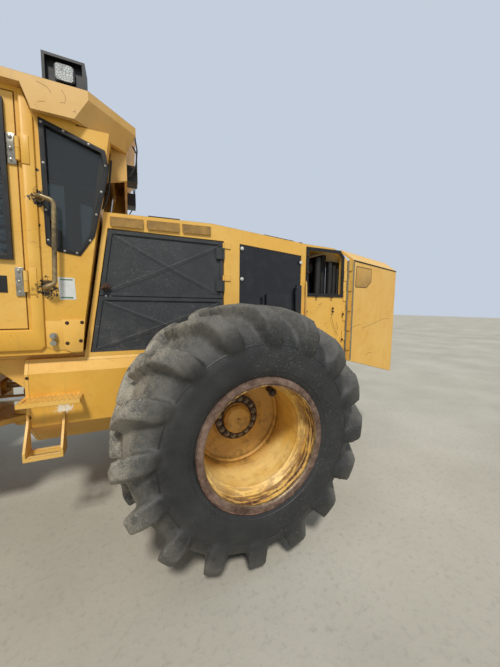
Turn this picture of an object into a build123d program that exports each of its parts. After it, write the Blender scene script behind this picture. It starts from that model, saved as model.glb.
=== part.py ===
from build123d import *
import math
import os

os.makedirs("parts", exist_ok=True)

# Wheeled feller buncher with a hinged frame, in millimetres.
# X points forward and is measured from the rear axle, Y to the machine's left, Z up from the ground.
# Every piece is moved back by origin_x when it is written, so the middle of the machine is at zero.
origin_x = 1486.6

# Running gear
wheelbase = 3150.0
track_half = 1122.5
tyre_radius = 880.0
tyre_half_width = 387.5
carcass_radius = 822.0
lugs_per_side = 16
rim_flange_radius = 432.0
rim_seat_radius = 406.0
rim_well_radius = 372.0
rim_half_width = 360.0
rim_wall = 14.0
rim_ledge = 228.0
disc_offset = 180.0
weld = 14.0
disc_wall = 22.0
hub_radius = 178.0
hub_cap_radius = 110.0
hub_cap_height = 92.0
spindle_radius = 90.0
spindle_depth = 60.0
axle_tube_radius = 118.0
axle_bowl_radius = 215.0
axle_pad_height = 235.0
axle_pad_half = 150.0
axle_pad_outer = 560.0
seat_gap = 0.3
pin_gap = 0.05
running_gap = 6.0

# Hinge between the two frames
articulation_x = wheelbase / 2
steer_pin_radius = 45.0
steer_nose_radius = 110.0
steer_plate = 38.0
steer_levels = (1220.0, 800.0)
steer_ear = 46.0
rod_lug_plate = 24.0

# Rear frame, a closed trough of plate
frame_plate = 22.0
frame_half_width = 700.0
frame_top = 1380.0
frame_crease = 1287.0
frame_side_bottom = 920.0
frame_belly_half = 520.0
frame_floor_half = 500.0
frame_belly = 750.0
frame_front = articulation_x - 175.0
frame_tail = -1358.0
frame_notch = -1110.0
frame_notch_bottom = 1175.0
tunnel_half = 240.0
tunnel_top = tyre_radius + axle_pad_height
platform_half_width = 600.0
gusset_size = 240.0
platform_plate = 40.0
cab_bottom = frame_top + platform_plate

# Engine housing on the rear frame
housing_half_width = 660.0
side_frame_wall = 42.0
roof_plate = 24.0
screen_front_top = 904.0
screen_front_bottom = 1046.0
screen_bottom = frame_top + 30.0
screen_split = frame_top + 445.0
screen_top = frame_top + 926.0
rail_depth = 120.0
screen_wall = 30.0
screen_fold = 10.0
screen_border = 26.0
pillar_front = -4.0
pillar_rear = -148.0
cover_rear = -790.0
cover_bottom = frame_top + 260.0
housing_tail = -1376.0
panel_rear_bottom = 1189.0
arch_start = (-832.0, 1611.0)
roof_line = (
    (900.0, frame_top + 1035.0), (100.0, frame_top + 1058.0), (-830.0, frame_top + 989.0),
    (-1191.0, frame_top + 980.0), (housing_tail, frame_top + 878.0),
)

# Side screens' hinges
knuckle_radius = 9.0
knuckle_half = 45.0
screen_hinge_levels = (screen_split + 105.0, screen_top - 106.0)

# Rear door, standing open as parked
rear_door_width = 1200.0
rear_door_wall = 48.0
rear_door_free_bottom = 900.0
rear_door_turn = 71.0
rear_door_cap_run = 150.0
rear_door_cap_rise = 118.0
rear_door_cap_wall = 28.0
rear_hinge = (housing_tail - 3.0, housing_half_width + 9.0)
rear_knuckle_radius = 8.0
rear_knuckles = 10

# Cab
cab_half_width = 720.0
cab_wall = 45.0
cab_floor_plate = 40.0
cab_front = 2180.0
cab_height = 1640.0
cab_top = cab_bottom + cab_height
platform_front = cab_front - 80.0
cab_rear_bottom = 1066.0
cab_rear_top = 818.0
door_rear = 1350.0
door_front = cab_front - 84.0
door_bottom = cab_bottom + 170.0
door_top = cab_top - 30.0
door_hinge_levels = (door_bottom + 310.0, door_top - 330.0)
door_glass_bottom = door_bottom + 470.0
door_gap = 6.0
hinge_stand = 15.0
hinge_leaf = 46.0
guard_stand = 12.0
guard_bar = 10.0
guard_edge = 26.0
guard_columns = 6
guard_rows = 10
roof_half_width = 780.0
roof_top = cab_top + 55.0
roof_lip = cab_top + 6.0
roof_fascia = cab_top - 135.0
roof_front = cab_front + 150.0
roof_rear = 665.0
roof_corner_x = 951.0
roof_corner_y = 510.0
roof_lean = 84.0
roof_lean_ratio = 0.83
rear_notch = 20.0
visor_drop = 200.0
visor_half = 486.0
visor_x = roof_rear + roof_lean * roof_lean_ratio

# Front frame and lift
front_frame_half = 370.0
front_plate = 30.0
front_frame_rear = articulation_x + 225.0
front_frame_front = wheelbase + 650.0
lift_pivot = (wheelbase - 360.0, 1830.0)
hitch_pin = (wheelbase + 1180.0, 900.0)
lift_pin_radius = 50.0
arm_inner = 400.0
arm_outer = 480.0
lift_base = (wheelbase - 220.0, 1090.0)
lift_eye = (wheelbase + 410.0, 1500.0)
lift_cylinder_y = 240.0
tilt_base = (wheelbase + 50.0, 1930.0)
tilt_eye = (wheelbase + 1140.0, 1640.0)

# Felling head
saw_x = wheelbase + 1650.0
head_bottom = 150.0
saw_radius = 690.0
saw_tooth = 22.0
saw_teeth = 18
saw_plate = 34.0
saw_level = 205.0
saw_bore = 60.0
shroud_radius = 778.0
shroud_top = 330.0
shroud_plate = 15.0
throat_half = 330.0
tower_rear = saw_x - 350.0
tower_front = saw_x + 50.0
tower_half = 330.0
tower_wall = 25.0
tower_top = 2500.0
arm_height = 110.0
clamp_pivot_x = saw_x
clamp_pivot_y = 400.0
clamp_pin_radius = 32.0
clamp_levels = (1060.0, 1420.0)


def block(x0, x1, y0, y1, z0, z1):
    """A block between two corners."""
    body = Box(x1 - x0, y1 - y0, z1 - z0, align=(Align.MIN, Align.MIN, Align.MIN))
    return body.moved(Location((x0, y0, z0)))


def side_plate(points, y0, y1):
    """A plate drawn in side view as (x, z), from y0 to y1."""
    return extrude(Plane.XZ.offset(-y0) * Polygon(*points, align=None), amount=y1 - y0, dir=(0, 1, 0))


def cross_plate(points, x0, x1):
    """A plate drawn from the front as (y, z), from x0 to x1."""
    return extrude(Plane.YZ.offset(x0) * Polygon(*points, align=None), amount=x1 - x0, dir=(1, 0, 0))


def flat_plate(points, z0, z1):
    """A plate drawn in plan as (x, y), from z0 to z1."""
    return extrude(Plane.XY.offset(z0) * Polygon(*points, align=None), amount=z1 - z0, dir=(0, 0, 1))


def bar_y(x, z, radius, y0, y1):
    """A round bar across the machine."""
    return extrude(Plane.XZ.offset(-y0) * Pos(x, z) * Circle(radius), amount=y1 - y0, dir=(0, 1, 0))


def bar_z(x, y, radius, z0, z1):
    """An upright round bar."""
    return extrude(Plane.XY.offset(z0) * Pos(x, y) * Circle(radius), amount=z1 - z0)


def bar_between(start, end, radius):
    """A round bar from one point to another."""
    line = Vector(*end) - Vector(*start)
    return extrude(Plane(origin=start, z_dir=line) * Circle(radius), amount=line.length)


def other_side(shape):
    """The same piece on the machine's right."""
    return mirror(shape, about=Plane.XZ)


def write(name, *solids):
    """Write one piece, or like pieces that don't touch, as one node."""
    shape = solids[0] if len(solids) == 1 else Compound([s for s in solids])
    export_step(shape.moved(Location((-origin_x, 0, 0))), f"parts/{name}.step")


# Wheels: one tyre and one rim are drawn about the origin with their outer face towards +Y.
# A tread bar starts at the middle of the tread, leans back over the shoulder and ends in a nose on the side.
# Columns: tip distance out and radius, foot distance out and radius, turn about the axle, half width of tip,
# foot width on the leading side and on the trailing side.
tread_turn = 8.4
bar_sections = (
    (-28.0, tyre_radius - 1.5, -28.0, 790.0, 0.0, 33.0, 50.0, 42.0),
    (60.0, tyre_radius, 60.0, 790.0, 180.0 / lugs_per_side - tread_turn, 34.0, 54.0, 44.0),
    (180.0, tyre_radius - 2, 170.0, 782.0, 8.0, 36.0, 62.0, 46.0),
    (tyre_half_width - 77.5, tyre_radius - 26, 262.0, 752.0, 14.5, 44.0, 82.0, 52.0),
    (tyre_half_width - 13.5, tyre_radius - 100, 325.0, 690.0, 17.5, 50.0, 94.0, 56.0),
    (tyre_half_width, 704.0, 345.0, 650.0, 18.5, 50.0, 86.0, 56.0),
    (tyre_half_width - 11.5, 605.0, 350.0, 590.0, 19.5, 24.0, 42.0, 36.0),
)
# Outline of the casing from the bead to the middle of the tread: radius, distance out
casing_outline = (
    (rim_flange_radius + 6, 345.7), (480.0, 366.0), (545.0, 380.0), (620.0, 383.0), (690.0, 368.0),
    (745.0, 330.0),
    (785.0, 262.0), (812.0, 160.0), (carcass_radius, 0.0),
)
casing_hollow = (
    (472.0, 322.0), (620.0, 349.0), (722.0, 310.0), (774.0, 160.0), (carcass_radius - 42, 0.0),
)


def tread_bar(side, start_angle):
    """One tread bar on the outer (+1) or inner (-1) half of the tyre."""
    rings = []
    for tip_out, tip, foot_out, foot, turn, half, lead, trail in bar_sections:
        angle = math.radians(start_angle + turn)
        radial = (math.cos(angle), math.sin(angle))
        corners = []
        for out, radius, edge in ((foot_out, foot, -lead), (foot_out, foot, trail), (tip_out, tip, half),
                                  (tip_out, tip, -half)):
            corners.append((radius * radial[0] - edge * radial[1], side * out,
                            radius * radial[1] + edge * radial[0]))
        rings.append(make_face(Polyline(*corners, close=True)))
    return loft(rings, ruled=True)


def tyre():
    """Casing with its tread bars."""
    bead = rim_seat_radius + seat_gap
    inner = rim_half_width - rim_wall - seat_gap
    outline = [(bead, inner)] + list(casing_outline)
    hollow = [(bead, inner - 60)] + list(casing_hollow)
    outer_side = outline + [(r, -w) for r, w in reversed(outline[:-1])]
    inner_side = hollow + [(r, -w) for r, w in reversed(hollow[:-1])]
    casing = revolve(Polygon(*(outer_side + inner_side[::-1]), align=None), axis=Axis.Y)
    pitch = 360.0 / lugs_per_side
    first = tread_turn - 90.0
    bars = [tread_bar(1, first + i * pitch) for i in range(lugs_per_side)]
    bars += [tread_bar(-1, first + (i + 0.5) * pitch) for i in range(lugs_per_side)]
    return casing.fuse(*bars)


def rim():
    """Rim barrel with its flanges, dished disc, stud ring and hub cap."""
    disc = -disc_offset
    seat_inside = rim_seat_radius - rim_wall
    well_inside = rim_well_radius - rim_wall
    barrel = Polygon(
        (rim_flange_radius, rim_half_width), (rim_flange_radius, rim_half_width - rim_wall),
        (rim_seat_radius, rim_half_width - rim_wall), (rim_seat_radius, rim_ledge),
        (rim_well_radius, rim_ledge - 42),
        (rim_well_radius, 42 - rim_ledge), (rim_seat_radius, -rim_ledge),
        (rim_seat_radius, rim_wall - rim_half_width),
        (rim_flange_radius, rim_wall - rim_half_width), (rim_flange_radius, -rim_half_width),
        (seat_inside, -rim_half_width), (seat_inside, -rim_ledge - 6), (well_inside, 36 - rim_ledge),
        (well_inside, rim_ledge - 36), (seat_inside, rim_ledge + 6), (seat_inside, rim_half_width),
        align=None)
    dish = Polygon(
        (spindle_radius + pin_gap, disc - 30), (spindle_radius + pin_gap, disc + spindle_depth - 30),
        (0, disc + spindle_depth - 30), (0, disc + hub_cap_height),
        (hub_cap_radius - 22, disc + hub_cap_height), (hub_cap_radius, disc + hub_cap_height - 20),
        (hub_cap_radius, disc + 46), (hub_radius, disc + 46), (hub_radius, disc + 14),
        (240, disc + 14), (well_inside - weld, disc + 42), (well_inside, disc + 44 + weld),
        (well_inside + rim_wall / 2, disc + 44 + weld), (well_inside + rim_wall / 2, disc + 44 - disc_wall),
        (250, disc + 14 - disc_wall),
        (hub_radius, disc - 30), align=None)
    return revolve(barrel, axis=Axis.Y) + revolve(dish, axis=Axis.Y)


def axle(x):
    """Axle housing with its centre bowl, frame pads and spindles."""
    reach = track_half - disc_offset - 30 - running_gap
    half = [(0, 0), (axle_bowl_radius, 0), (axle_bowl_radius, 90), (axle_tube_radius, 260),
            (axle_tube_radius, 640), (hub_radius - 12, 690), (hub_radius - 12, reach),
            (spindle_radius, reach),
            (spindle_radius, track_half - disc_offset - 30 + spindle_depth - 4),
            (0, track_half - disc_offset - 30 + spindle_depth - 4)]
    housing = revolve(Polygon(*half, align=None), axis=Axis.Y)
    housing = housing.moved(Location((x, 0, tyre_radius)))
    pads = block(x - axle_pad_half, x + axle_pad_half, 400, axle_pad_outer, tyre_radius - 90,
                 tyre_radius + axle_pad_height)
    left = housing + pads
    return left + other_side(left)


left_tyre = tyre()
left_rim = rim()
for place, x in (("rear", 0.0), ("front", wheelbase)):
    spot = Location((x, track_half, tyre_radius))
    for part_name, shape in (("tyre", left_tyre), ("rim", left_rim)):
        write(f"{part_name}_{place}_left", shape.moved(spot))
        write(f"{part_name}_{place}_right", other_side(shape.moved(spot)))

write("rear_axle", axle(0.0))
write("front_axle", axle(wheelbase))


# Rear frame
def frame_section(inset):
    """The trough's cross-section as (y, z), drawn in by a plate's thickness."""
    bottom = frame_belly + inset
    half = [
        (frame_belly_half - inset * 0.4, bottom),
        (frame_half_width - inset, frame_side_bottom + inset * 0.4),
        (frame_half_width - inset, frame_crease), (housing_half_width - inset, frame_top - inset),
    ]
    return half + [(-y, z) for y, z in reversed(half)]


def steer_fork(level):
    """Two plates that hold one steering pin, with the pin."""
    reach = articulation_x - frame_front
    outline = flat_plate(
        ((frame_front - 4, -260), (frame_front + reach * 0.8, -steer_nose_radius),
         (articulation_x, -steer_nose_radius),
         (articulation_x, steer_nose_radius), (frame_front + reach * 0.8, steer_nose_radius),
         (frame_front - 4, 260)),
        0, steer_plate)
    outline += bar_z(articulation_x, 0, steer_nose_radius, 0, steer_plate)
    half_gap = steer_ear / 2 + running_gap
    upper = outline.moved(Location((0, 0, level + half_gap)))
    lower = outline.moved(Location((0, 0, level - half_gap - steer_plate)))
    pin = bar_z(articulation_x, 0, steer_pin_radius, level - half_gap - steer_plate - 12,
                level + half_gap + steer_plate + 12)
    return upper + lower + pin


def steer_ear_plate(level):
    """The front frame's plate between the two fork plates."""
    ear = flat_plate(
        ((articulation_x, -steer_nose_radius), (front_frame_rear + 4, -240), (front_frame_rear + 4, 240),
         (articulation_x, steer_nose_radius)), level - steer_ear / 2, level + steer_ear / 2)
    ear += bar_z(articulation_x, 0, steer_nose_radius, level - steer_ear / 2, level + steer_ear / 2)
    return ear - bar_z(articulation_x, 0, steer_pin_radius + pin_gap, level - steer_ear, level + steer_ear)


steer_eye = (frame_front + 70.0, 240.0)
steer_base = (articulation_x + 775.0, 215.0)
steer_cylinder_z = 1010.0
cylinder_pin = 24.0
eye_radius = 46.0
eye_half = 34.0
neck_length = 110.0


tow_lug = (frame_tail - 62.0, 810.0)
tow_radius = 25.0
tow_plate = 40.0
tie_radius = 22.0
tie_plate = 25.0
tie_rear = (frame_tail - 45.0, 400.0, 860.0)
tie_front = (front_frame_front + 45.0, 250.0, 780.0)


def upright_eyes(place, root_x):
    """Two upright plates with cross holes, standing off a frame's end."""
    x, y, z = place
    half = tie_radius * 2
    low, high = y - tie_plate / 2, y + tie_plate / 2
    eye = bar_y(x, z, half, low, high) + block(x, root_x, low, high, z - half, z + half)
    eye -= bar_y(x, z, tie_radius, low - 5, high + 5)
    return eye + other_side(eye)


def flat_eyes(place, root_x):
    """Two flat plates with upright holes, standing off a frame's end."""
    x, y, z = place
    half = tie_radius * 2
    low, high = z - tie_plate / 2, z + tie_plate / 2
    eye = bar_z(x, y, half, low, high) + block(root_x, x, y - half, y + half, low, high)
    eye -= bar_z(x, y, tie_radius, low - 5, high + 5)
    return eye + other_side(eye)


def frame_solid():
    """The rear frame's full outline, notched at the tail and open above the axle."""
    body = cross_plate(frame_section(0), frame_tail, frame_front)
    wide = frame_half_width + 10
    body -= block(-tunnel_half, tunnel_half, -wide, wide, 0, tunnel_top)
    notch_y = housing_half_width - side_frame_wall - 8
    notch = block(frame_tail - 5, frame_notch, notch_y, wide, frame_notch_bottom, frame_top + 5)
    return body - notch - other_side(notch)


def tunnel_block():
    """The outside of the plate arch over the rear axle, as a solid block."""
    wide = frame_half_width + 10
    outer = tunnel_half + frame_plate
    return block(-outer, outer, -wide, wide, 0, tunnel_top + frame_plate)


def frame_skin():
    """The folded side, floor and top plates between the two end walls, without the axle tunnel."""
    room = cross_plate(frame_section(frame_plate), frame_tail - 5, frame_front + 5)
    wide = frame_half_width + 10
    between = block(frame_tail + frame_plate, frame_front - frame_plate, -wide, wide, 0, frame_top + 5)
    return (frame_solid() - room - tunnel_block()) & between


def frame_sides(skin):
    """The two folded side plates."""
    strip = block(frame_tail, frame_front, frame_floor_half, frame_half_width + 10, 0,
                  frame_top - frame_plate)
    left = (skin & strip).solids()
    right = (skin & other_side(strip)).solids()
    return left + right


def frame_floor(skin):
    """Belly plates before and behind the axle."""
    return (skin & block(frame_tail, frame_front, -frame_floor_half, frame_floor_half, 0,
                         frame_belly + 60)).solids()


def engine_beams():
    """Two cross beams that carry the engine."""
    room = cross_plate(frame_section(frame_plate), frame_tail, frame_front) - tunnel_block()
    return [room & block(x - 50, x + 50, -frame_half_width, frame_half_width, frame_belly + 60,
                         engine_bottom)
            for x in engine_mount_x]


def frame_deck(skin):
    """Top plate with the engine opening, and the cab platform."""
    wide = frame_half_width + 10
    deck = skin & block(frame_tail, frame_front, -wide, wide, frame_top - frame_plate, frame_top)
    deck -= block(engine_rear - 40, engine_front + 40, -560, 560, frame_top - 60, frame_top + 20)
    return deck + block(900, platform_front, -platform_half_width, platform_half_width, frame_top,
                        cab_bottom)


def frame_nose():
    """Front wall with the steering forks, rod lugs and platform gussets."""
    wide = frame_half_width + 10
    body = frame_solid() & block(frame_front - frame_plate, frame_front, -wide, wide, 0, frame_top)
    gusset = side_plate(
        ((frame_front - 4, frame_top - gusset_size), (frame_front - 4, frame_top),
         (frame_front + gusset_size, frame_top)), 0, 30)
    for y in (-platform_half_width, platform_half_width - 30):
        body += gusset.moved(Location((0, y, 0)))
    for level in steer_levels:
        body += steer_fork(level)
    low, high = steer_cylinder_z - eye_half - running_gap, steer_cylinder_z + eye_half + running_gap
    x, y = steer_eye
    for side in (-1, 1):
        for z in (low - rod_lug_plate, high):
            rod_lug = block(frame_front - 4, x, -50, 50, 0, rod_lug_plate) + bar_z(x, 0, 50, 0,
                                                                                   rod_lug_plate)
            body += rod_lug.moved(Location((0, side * y, z)))
        body -= block(frame_front - frame_plate - 5, frame_front + 5, side * y - 100, side * y + 100, low,
                      high)
    return body


def frame_tail_wall():
    """Rear wall with the tow tongue and two tie-down eyes."""
    wide = frame_half_width + 10
    body = frame_solid() & block(frame_tail, frame_tail + frame_plate, -wide, wide, 0, frame_top)
    x, z = tow_lug
    tongue = bar_z(x, 0, tow_radius * 2.2, z - tow_plate / 2, z + tow_plate / 2)
    tongue += block(x, frame_tail + 5, -90, 90, z - tow_plate / 2, z + tow_plate / 2)
    body += tongue - bar_z(x, 0, tow_radius, z - tow_plate, z + tow_plate)
    return body + upright_eyes(tie_rear, frame_tail + 5)


engine_rear = -1180.0
engine_front = -80.0
engine_half = 350.0
engine_bottom = 1160.0
engine_top = 2030.0
engine_mount_x = (-1000.0, -300.0)

skin = frame_skin()
write("rear_frame", *frame_sides(skin))
write("frame_floor", *frame_floor(skin))
write("axle_tunnel", tunnel_block() & frame_solid())
write("engine_beams", *engine_beams())
write("frame_deck", frame_deck(skin))
write("frame_nose", frame_nose())
write("frame_tail_wall", frame_tail_wall())
write("engine_block", block(engine_rear, engine_front, -engine_half, engine_half, engine_bottom,
                            engine_top))


# Engine housing
def roof_height(x):
    """Height of the housing's roof line above a point along the machine."""
    for (xa, za), (xb, zb) in zip(roof_line, roof_line[1:]):
        if xb <= x <= xa:
            return za + (zb - za) * (x - xa) / (xb - xa)
    return roof_line[0][1]


def cover_top(x):
    """Top edge of the side cover, below the rail that follows the roof line."""
    return roof_height(x) - rail_depth


# Recessed vents in the top rail: front end, rear end
rail_vents = ((856.0, 632.0), (606.0, 366.0), (342.0, 112.0))
rear_window = ((-870, 510), (-870, 940), (-1255, 940), (-1300, 895), (-1300, 510))


def screen_front(z):
    """The slanted front edge of the screens, alongside the cab's rear post."""
    share = (z - screen_bottom) / (screen_top - screen_bottom)
    return screen_front_bottom + (screen_front_top - screen_front_bottom) * share


def side_frame():
    """Top rail, pillars and rear side panel of the left side, in one plate."""
    outer = housing_half_width
    inner = housing_half_width - side_frame_wall
    edge = [(screen_front(screen_bottom - 30) + 4, frame_top), (screen_front(screen_top) + 4, screen_top)]
    outline = edge + list(roof_line) + [(housing_tail, panel_rear_bottom), arch_start,
                                        (arch_start[0], frame_top)]
    panel = side_plate(outline, inner, outer)
    opening = side_plate(
        ((pillar_front, screen_bottom), (screen_front(screen_bottom) - 30, screen_bottom),
         (screen_front(screen_top) - 30, screen_top), (pillar_front, screen_top)), inner - 5, outer + 5)
    cover = side_plate(
        ((pillar_rear, cover_bottom), (pillar_rear, cover_top(pillar_rear)),
         (cover_rear, cover_top(cover_rear)),
         (cover_rear, cover_bottom)), inner - 5, outer + 5)
    window = side_plate(
        [(x, frame_top + rise) for x, rise in rear_window], inner - 5, outer + 5)
    panel = panel - opening - cover - window
    for front, rear in rail_vents:
        pocket = [(front, roof_height(front) - 28), (rear, roof_height(rear) - 28),
                  (rear, roof_height(rear) - 92),
                  (front, roof_height(front) - 92)]
        panel -= side_plate(pocket, outer - 9, outer + 5)
    hinge_x = pillar_front + door_gap
    for z in screen_hinge_levels:
        low, high = z + knuckle_half + seat_gap, z + 2 * knuckle_half
        panel += bar_z(hinge_x, outer + 10, knuckle_radius, low, high)
        panel += block(pillar_front - 60, hinge_x, outer - 2, outer + 8, low, high)
    return panel


def piano_hinge(first):
    """Every second knuckle of the rear door's hinge, starting with the first or the second."""
    x, y = rear_hinge
    top = roof_line[-1][1]
    pitch = (top - panel_rear_bottom - 20) / rear_knuckles
    pieces = []
    for i in range(first, rear_knuckles, 2):
        low = panel_rear_bottom + 10 + i * pitch
        pieces.append((low, low + pitch - seat_gap))
    return pieces


def hood_roof():
    """Roof plate between the two side frames."""
    top = list(roof_line)
    under = [(x, z - roof_plate) for x, z in reversed(roof_line)]
    return side_plate(top + under, side_frame_wall - housing_half_width,
                      housing_half_width - side_frame_wall)


def screen(z0, z1):
    """One screen of the left side: a flat frame around a sheet folded from corner to corner."""
    outer = housing_half_width - 4
    gap = door_gap

    def outline(inset):
        low, high = z0 + inset, z1 - inset
        front = -30 - gap - inset
        return ((pillar_front + gap + inset, low), (screen_front(low) + front, low),
                (screen_front(high) + front, high), (pillar_front + gap + inset, high))

    sheet = side_plate(outline(0), outer - screen_wall, outer - screen_fold)
    frame = side_plate(outline(0), outer - screen_wall, outer)
    frame -= side_plate(outline(screen_border), outer - screen_wall - 5, outer + 5)
    corners = outline(screen_border + 4)
    middle_x = sum(x for x, z in corners) / 4
    middle_z = sum(z for x, z in corners) / 4
    base = make_face(Polyline(*[(x, outer - screen_fold, z) for x, z in corners], close=True))
    return sheet + frame + loft([base, Vertex(middle_x, outer, middle_z)], ruled=True)


def window_frame():
    """Raised frame around the rear panel's window."""
    opening = Polygon(*[(x, frame_top + rise) for x, rise in rear_window], align=None)
    ring = offset(opening, amount=24, kind=Kind.INTERSECTION) - offset(opening, amount=-7,
                                                                       kind=Kind.INTERSECTION)
    return extrude(Plane.XZ.offset(-housing_half_width) * ring, amount=9, dir=(0, 1, 0))


left_side = side_frame()
write("side_frame_right", other_side(left_side))
for low, high in piano_hinge(0):
    left_side += bar_z(*rear_hinge, rear_knuckle_radius, low, high)
    left_side += block(rear_hinge[0], housing_tail + 45, housing_half_width - 2, housing_half_width + 6,
                       low, high)
write("side_frame_left", left_side)
write("hood_roof", hood_roof())
write("panel_window_frames", window_frame(), other_side(window_frame()))

lower_screen = screen(screen_bottom + seat_gap, screen_split - door_gap)
write("lower_screens", lower_screen, other_side(lower_screen))
upper_screen = screen(screen_split, screen_top - door_gap)
screen_hinge_y = housing_half_width + 10
for z in screen_hinge_levels:
    low, high = z - knuckle_half, z + knuckle_half
    upper_screen += bar_z(pillar_front + door_gap, screen_hinge_y, knuckle_radius, low, high)
    upper_screen += block(pillar_front + door_gap, pillar_front + 70, housing_half_width - 6,
                          housing_half_width + 8, low, high)
write("upper_screen_left", upper_screen)
write("upper_screen_right", other_side(upper_screen))

cover_low = cover_bottom + seat_gap
cover_front = pillar_rear - seat_gap
cover_back = cover_rear + seat_gap
cover = side_plate(
    ((cover_front, cover_low), (cover_front, cover_top(cover_front) - 1),
     (cover_back, cover_top(cover_back) - 1),
     (cover_back, cover_low)), housing_half_width - 36, housing_half_width - 6)
write("engine_covers", cover, other_side(cover))

cooler = block(80, 860, 520, 590, frame_top, screen_top - 16)
write("cooler", cooler)


# Rear door, drawn closed across the tail and then turned open about its left edge
def rear_door():
    """Plain rear door with its sloped cap, hinged at the left corner of the tail."""
    hinge_y = housing_half_width
    face = housing_tail - door_gap
    free = hinge_y - rear_door_width
    sheet = cross_plate(
        ((hinge_y, panel_rear_bottom), (hinge_y, roof_line[-1][1]), (free, roof_line[-1][1]),
         (free, rear_door_free_bottom)),
        face - rear_door_wall, face)
    top = roof_line[-1][1]
    slope = rear_door_cap_rise / rear_door_cap_run
    reach = face - rear_door_wall + rear_door_cap_run
    under = top + slope * rear_door_wall - rear_door_cap_wall
    cap = side_plate(
        ((face - rear_door_wall, top), (reach, top + rear_door_cap_rise),
         (reach, top + rear_door_cap_rise - rear_door_cap_wall),
         (face, under), (face, top - 10), (face - rear_door_wall, top - 10)), free, hinge_y)
    door = sheet + cap
    hinge_x, knuckle_y = rear_hinge
    for low, high in piano_hinge(1):
        door += bar_z(hinge_x, knuckle_y, rear_knuckle_radius, low, high)
        door += block(face - rear_door_wall + 4, hinge_x, hinge_y - 2, hinge_y + 7, low, high)
    turn = Location((hinge_x, knuckle_y, 0)) * Location((0, 0, 0), (0, 0, -rear_door_turn))
    return door.moved(Location((-hinge_x, -knuckle_y, 0))).moved(turn)


write("rear_door", rear_door())


# Cab
def cab_rear(z):
    """The rear edge of the cab's side, which leans back towards the top."""
    share = (z - (frame_top + platform_plate)) / (cab_top - frame_top - platform_plate)
    return cab_rear_bottom + (cab_rear_top - cab_rear_bottom) * share


window_drops = ((1220, 151), (882, 268), (868, 382), (968, 827), (1050, 956), (1157, 939), (1211, 906))
side_window = [(x, cab_top - drop) for x, drop in window_drops]
right_glass_bottom = door_bottom + 310.0
screen_glass = (cab_bottom + 220.0, cab_top - 100.0)
rear_glass = (cab_top - 580.0, cab_top - 160.0)
rear_glass_side = 90.0
front_glass_side = 60.0


def cab_side(with_door):
    """One side wall with its window, and the doorway on the left."""
    outer = cab_half_width
    inner = cab_half_width - cab_wall
    shoulder = roof_fascia - door_gap
    wall = side_plate(
        ((cab_rear(cab_bottom), cab_bottom), (cab_front, cab_bottom), (cab_front, cab_top),
         (roof_corner_x + roof_lean, cab_top),
         (roof_corner_x + roof_lean, shoulder), (cab_rear(shoulder), shoulder)),
        inner, outer)
    wall -= side_plate(side_window, inner - 5, outer + 5)
    if with_door:
        wall -= block(door_rear, door_front, inner - 5, outer + 5, door_bottom, door_top)
        for z in door_hinge_levels:
            wall += block(door_rear - 60, door_rear - 4, outer - 2, outer + 6, z - 70, z + 1 - seat_gap)
            wall += bar_z(door_rear - 5, outer + hinge_stand, 13, z - 70, z + 1 - seat_gap)
    else:
        wall -= block(door_rear, door_front, inner - 5, outer + 5, right_glass_bottom, door_top)
        wall = other_side(wall)
    return wall


def cab_end_walls():
    """Front and rear walls between the side walls, with their window openings."""
    inside = cab_half_width - cab_wall - seat_gap
    front = block(cab_front - cab_wall, cab_front, -inside, inside, cab_bottom + cab_floor_plate, cab_top)
    side = inside - front_glass_side
    front -= block(cab_front - 100, cab_front + 10, -side, side, *screen_glass)
    low = cab_bottom + cab_floor_plate
    rear = side_plate(
        ((cab_rear(low), low), (cab_rear(low) + cab_wall, low), (cab_rear(cab_top) + cab_wall, cab_top),
         (cab_rear(cab_top), cab_top)),
        -inside, inside)
    rear -= block(700, 1100, rear_glass_side - inside, inside - rear_glass_side, *rear_glass)
    for y in (-inside - 5, roof_corner_y + rear_notch):
        rear -= block(700, 1100, y, y + inside + 5 - roof_corner_y - rear_notch, roof_fascia - door_gap,
                      cab_top + 5)
    return front, rear


write("cab_side_left", cab_side(True))
write("cab_side_right", cab_side(False))
write("cab_end_walls", *cab_end_walls())
cab_inside = cab_half_width - cab_wall - seat_gap
floor_outline = ((cab_rear(cab_bottom), cab_bottom), (cab_front, cab_bottom),
                 (cab_front, cab_bottom + cab_floor_plate),
                 (cab_rear(cab_bottom + cab_floor_plate), cab_bottom + cab_floor_plate))
write("cab_floor", side_plate(floor_outline, -cab_inside, cab_inside))

glass = 8.0
glass_y = cab_half_width - 20


def shrink(points, gap):
    """A window outline drawn in from its opening."""
    face = Polygon(*points, align=None)
    return offset(face, amount=-gap)


def side_pane(points, y):
    """A pane in a side wall."""
    return extrude(Plane.XZ.offset(-y) * shrink(points, seat_gap), amount=glass)


right_window = ((door_rear, right_glass_bottom), (door_front, right_glass_bottom), (door_front, door_top),
                (door_rear, door_top))
panes = [side_pane(side_window, glass_y), other_side(side_pane(side_window, glass_y)),
         other_side(side_pane(right_window, glass_y))]
pane_side = cab_inside - front_glass_side - seat_gap
panes.append(block(cab_front - 30, cab_front - 30 + glass, -pane_side, pane_side,
                   screen_glass[0] + seat_gap, screen_glass[1] - seat_gap))
low, high = rear_glass[0] + seat_gap, rear_glass[1] - seat_gap
rear_pane_low = (cab_rear(low) + 18, low)
rear_pane_high = (cab_rear(high) + 18, high)
panes.append(side_plate(
    (rear_pane_low, (rear_pane_low[0] + glass, rear_pane_low[1]),
     (rear_pane_high[0] + glass, rear_pane_high[1]), rear_pane_high),
    rear_glass_side + seat_gap - cab_inside, cab_inside - rear_glass_side - seat_gap))
write("cab_windows", *panes)


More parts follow.
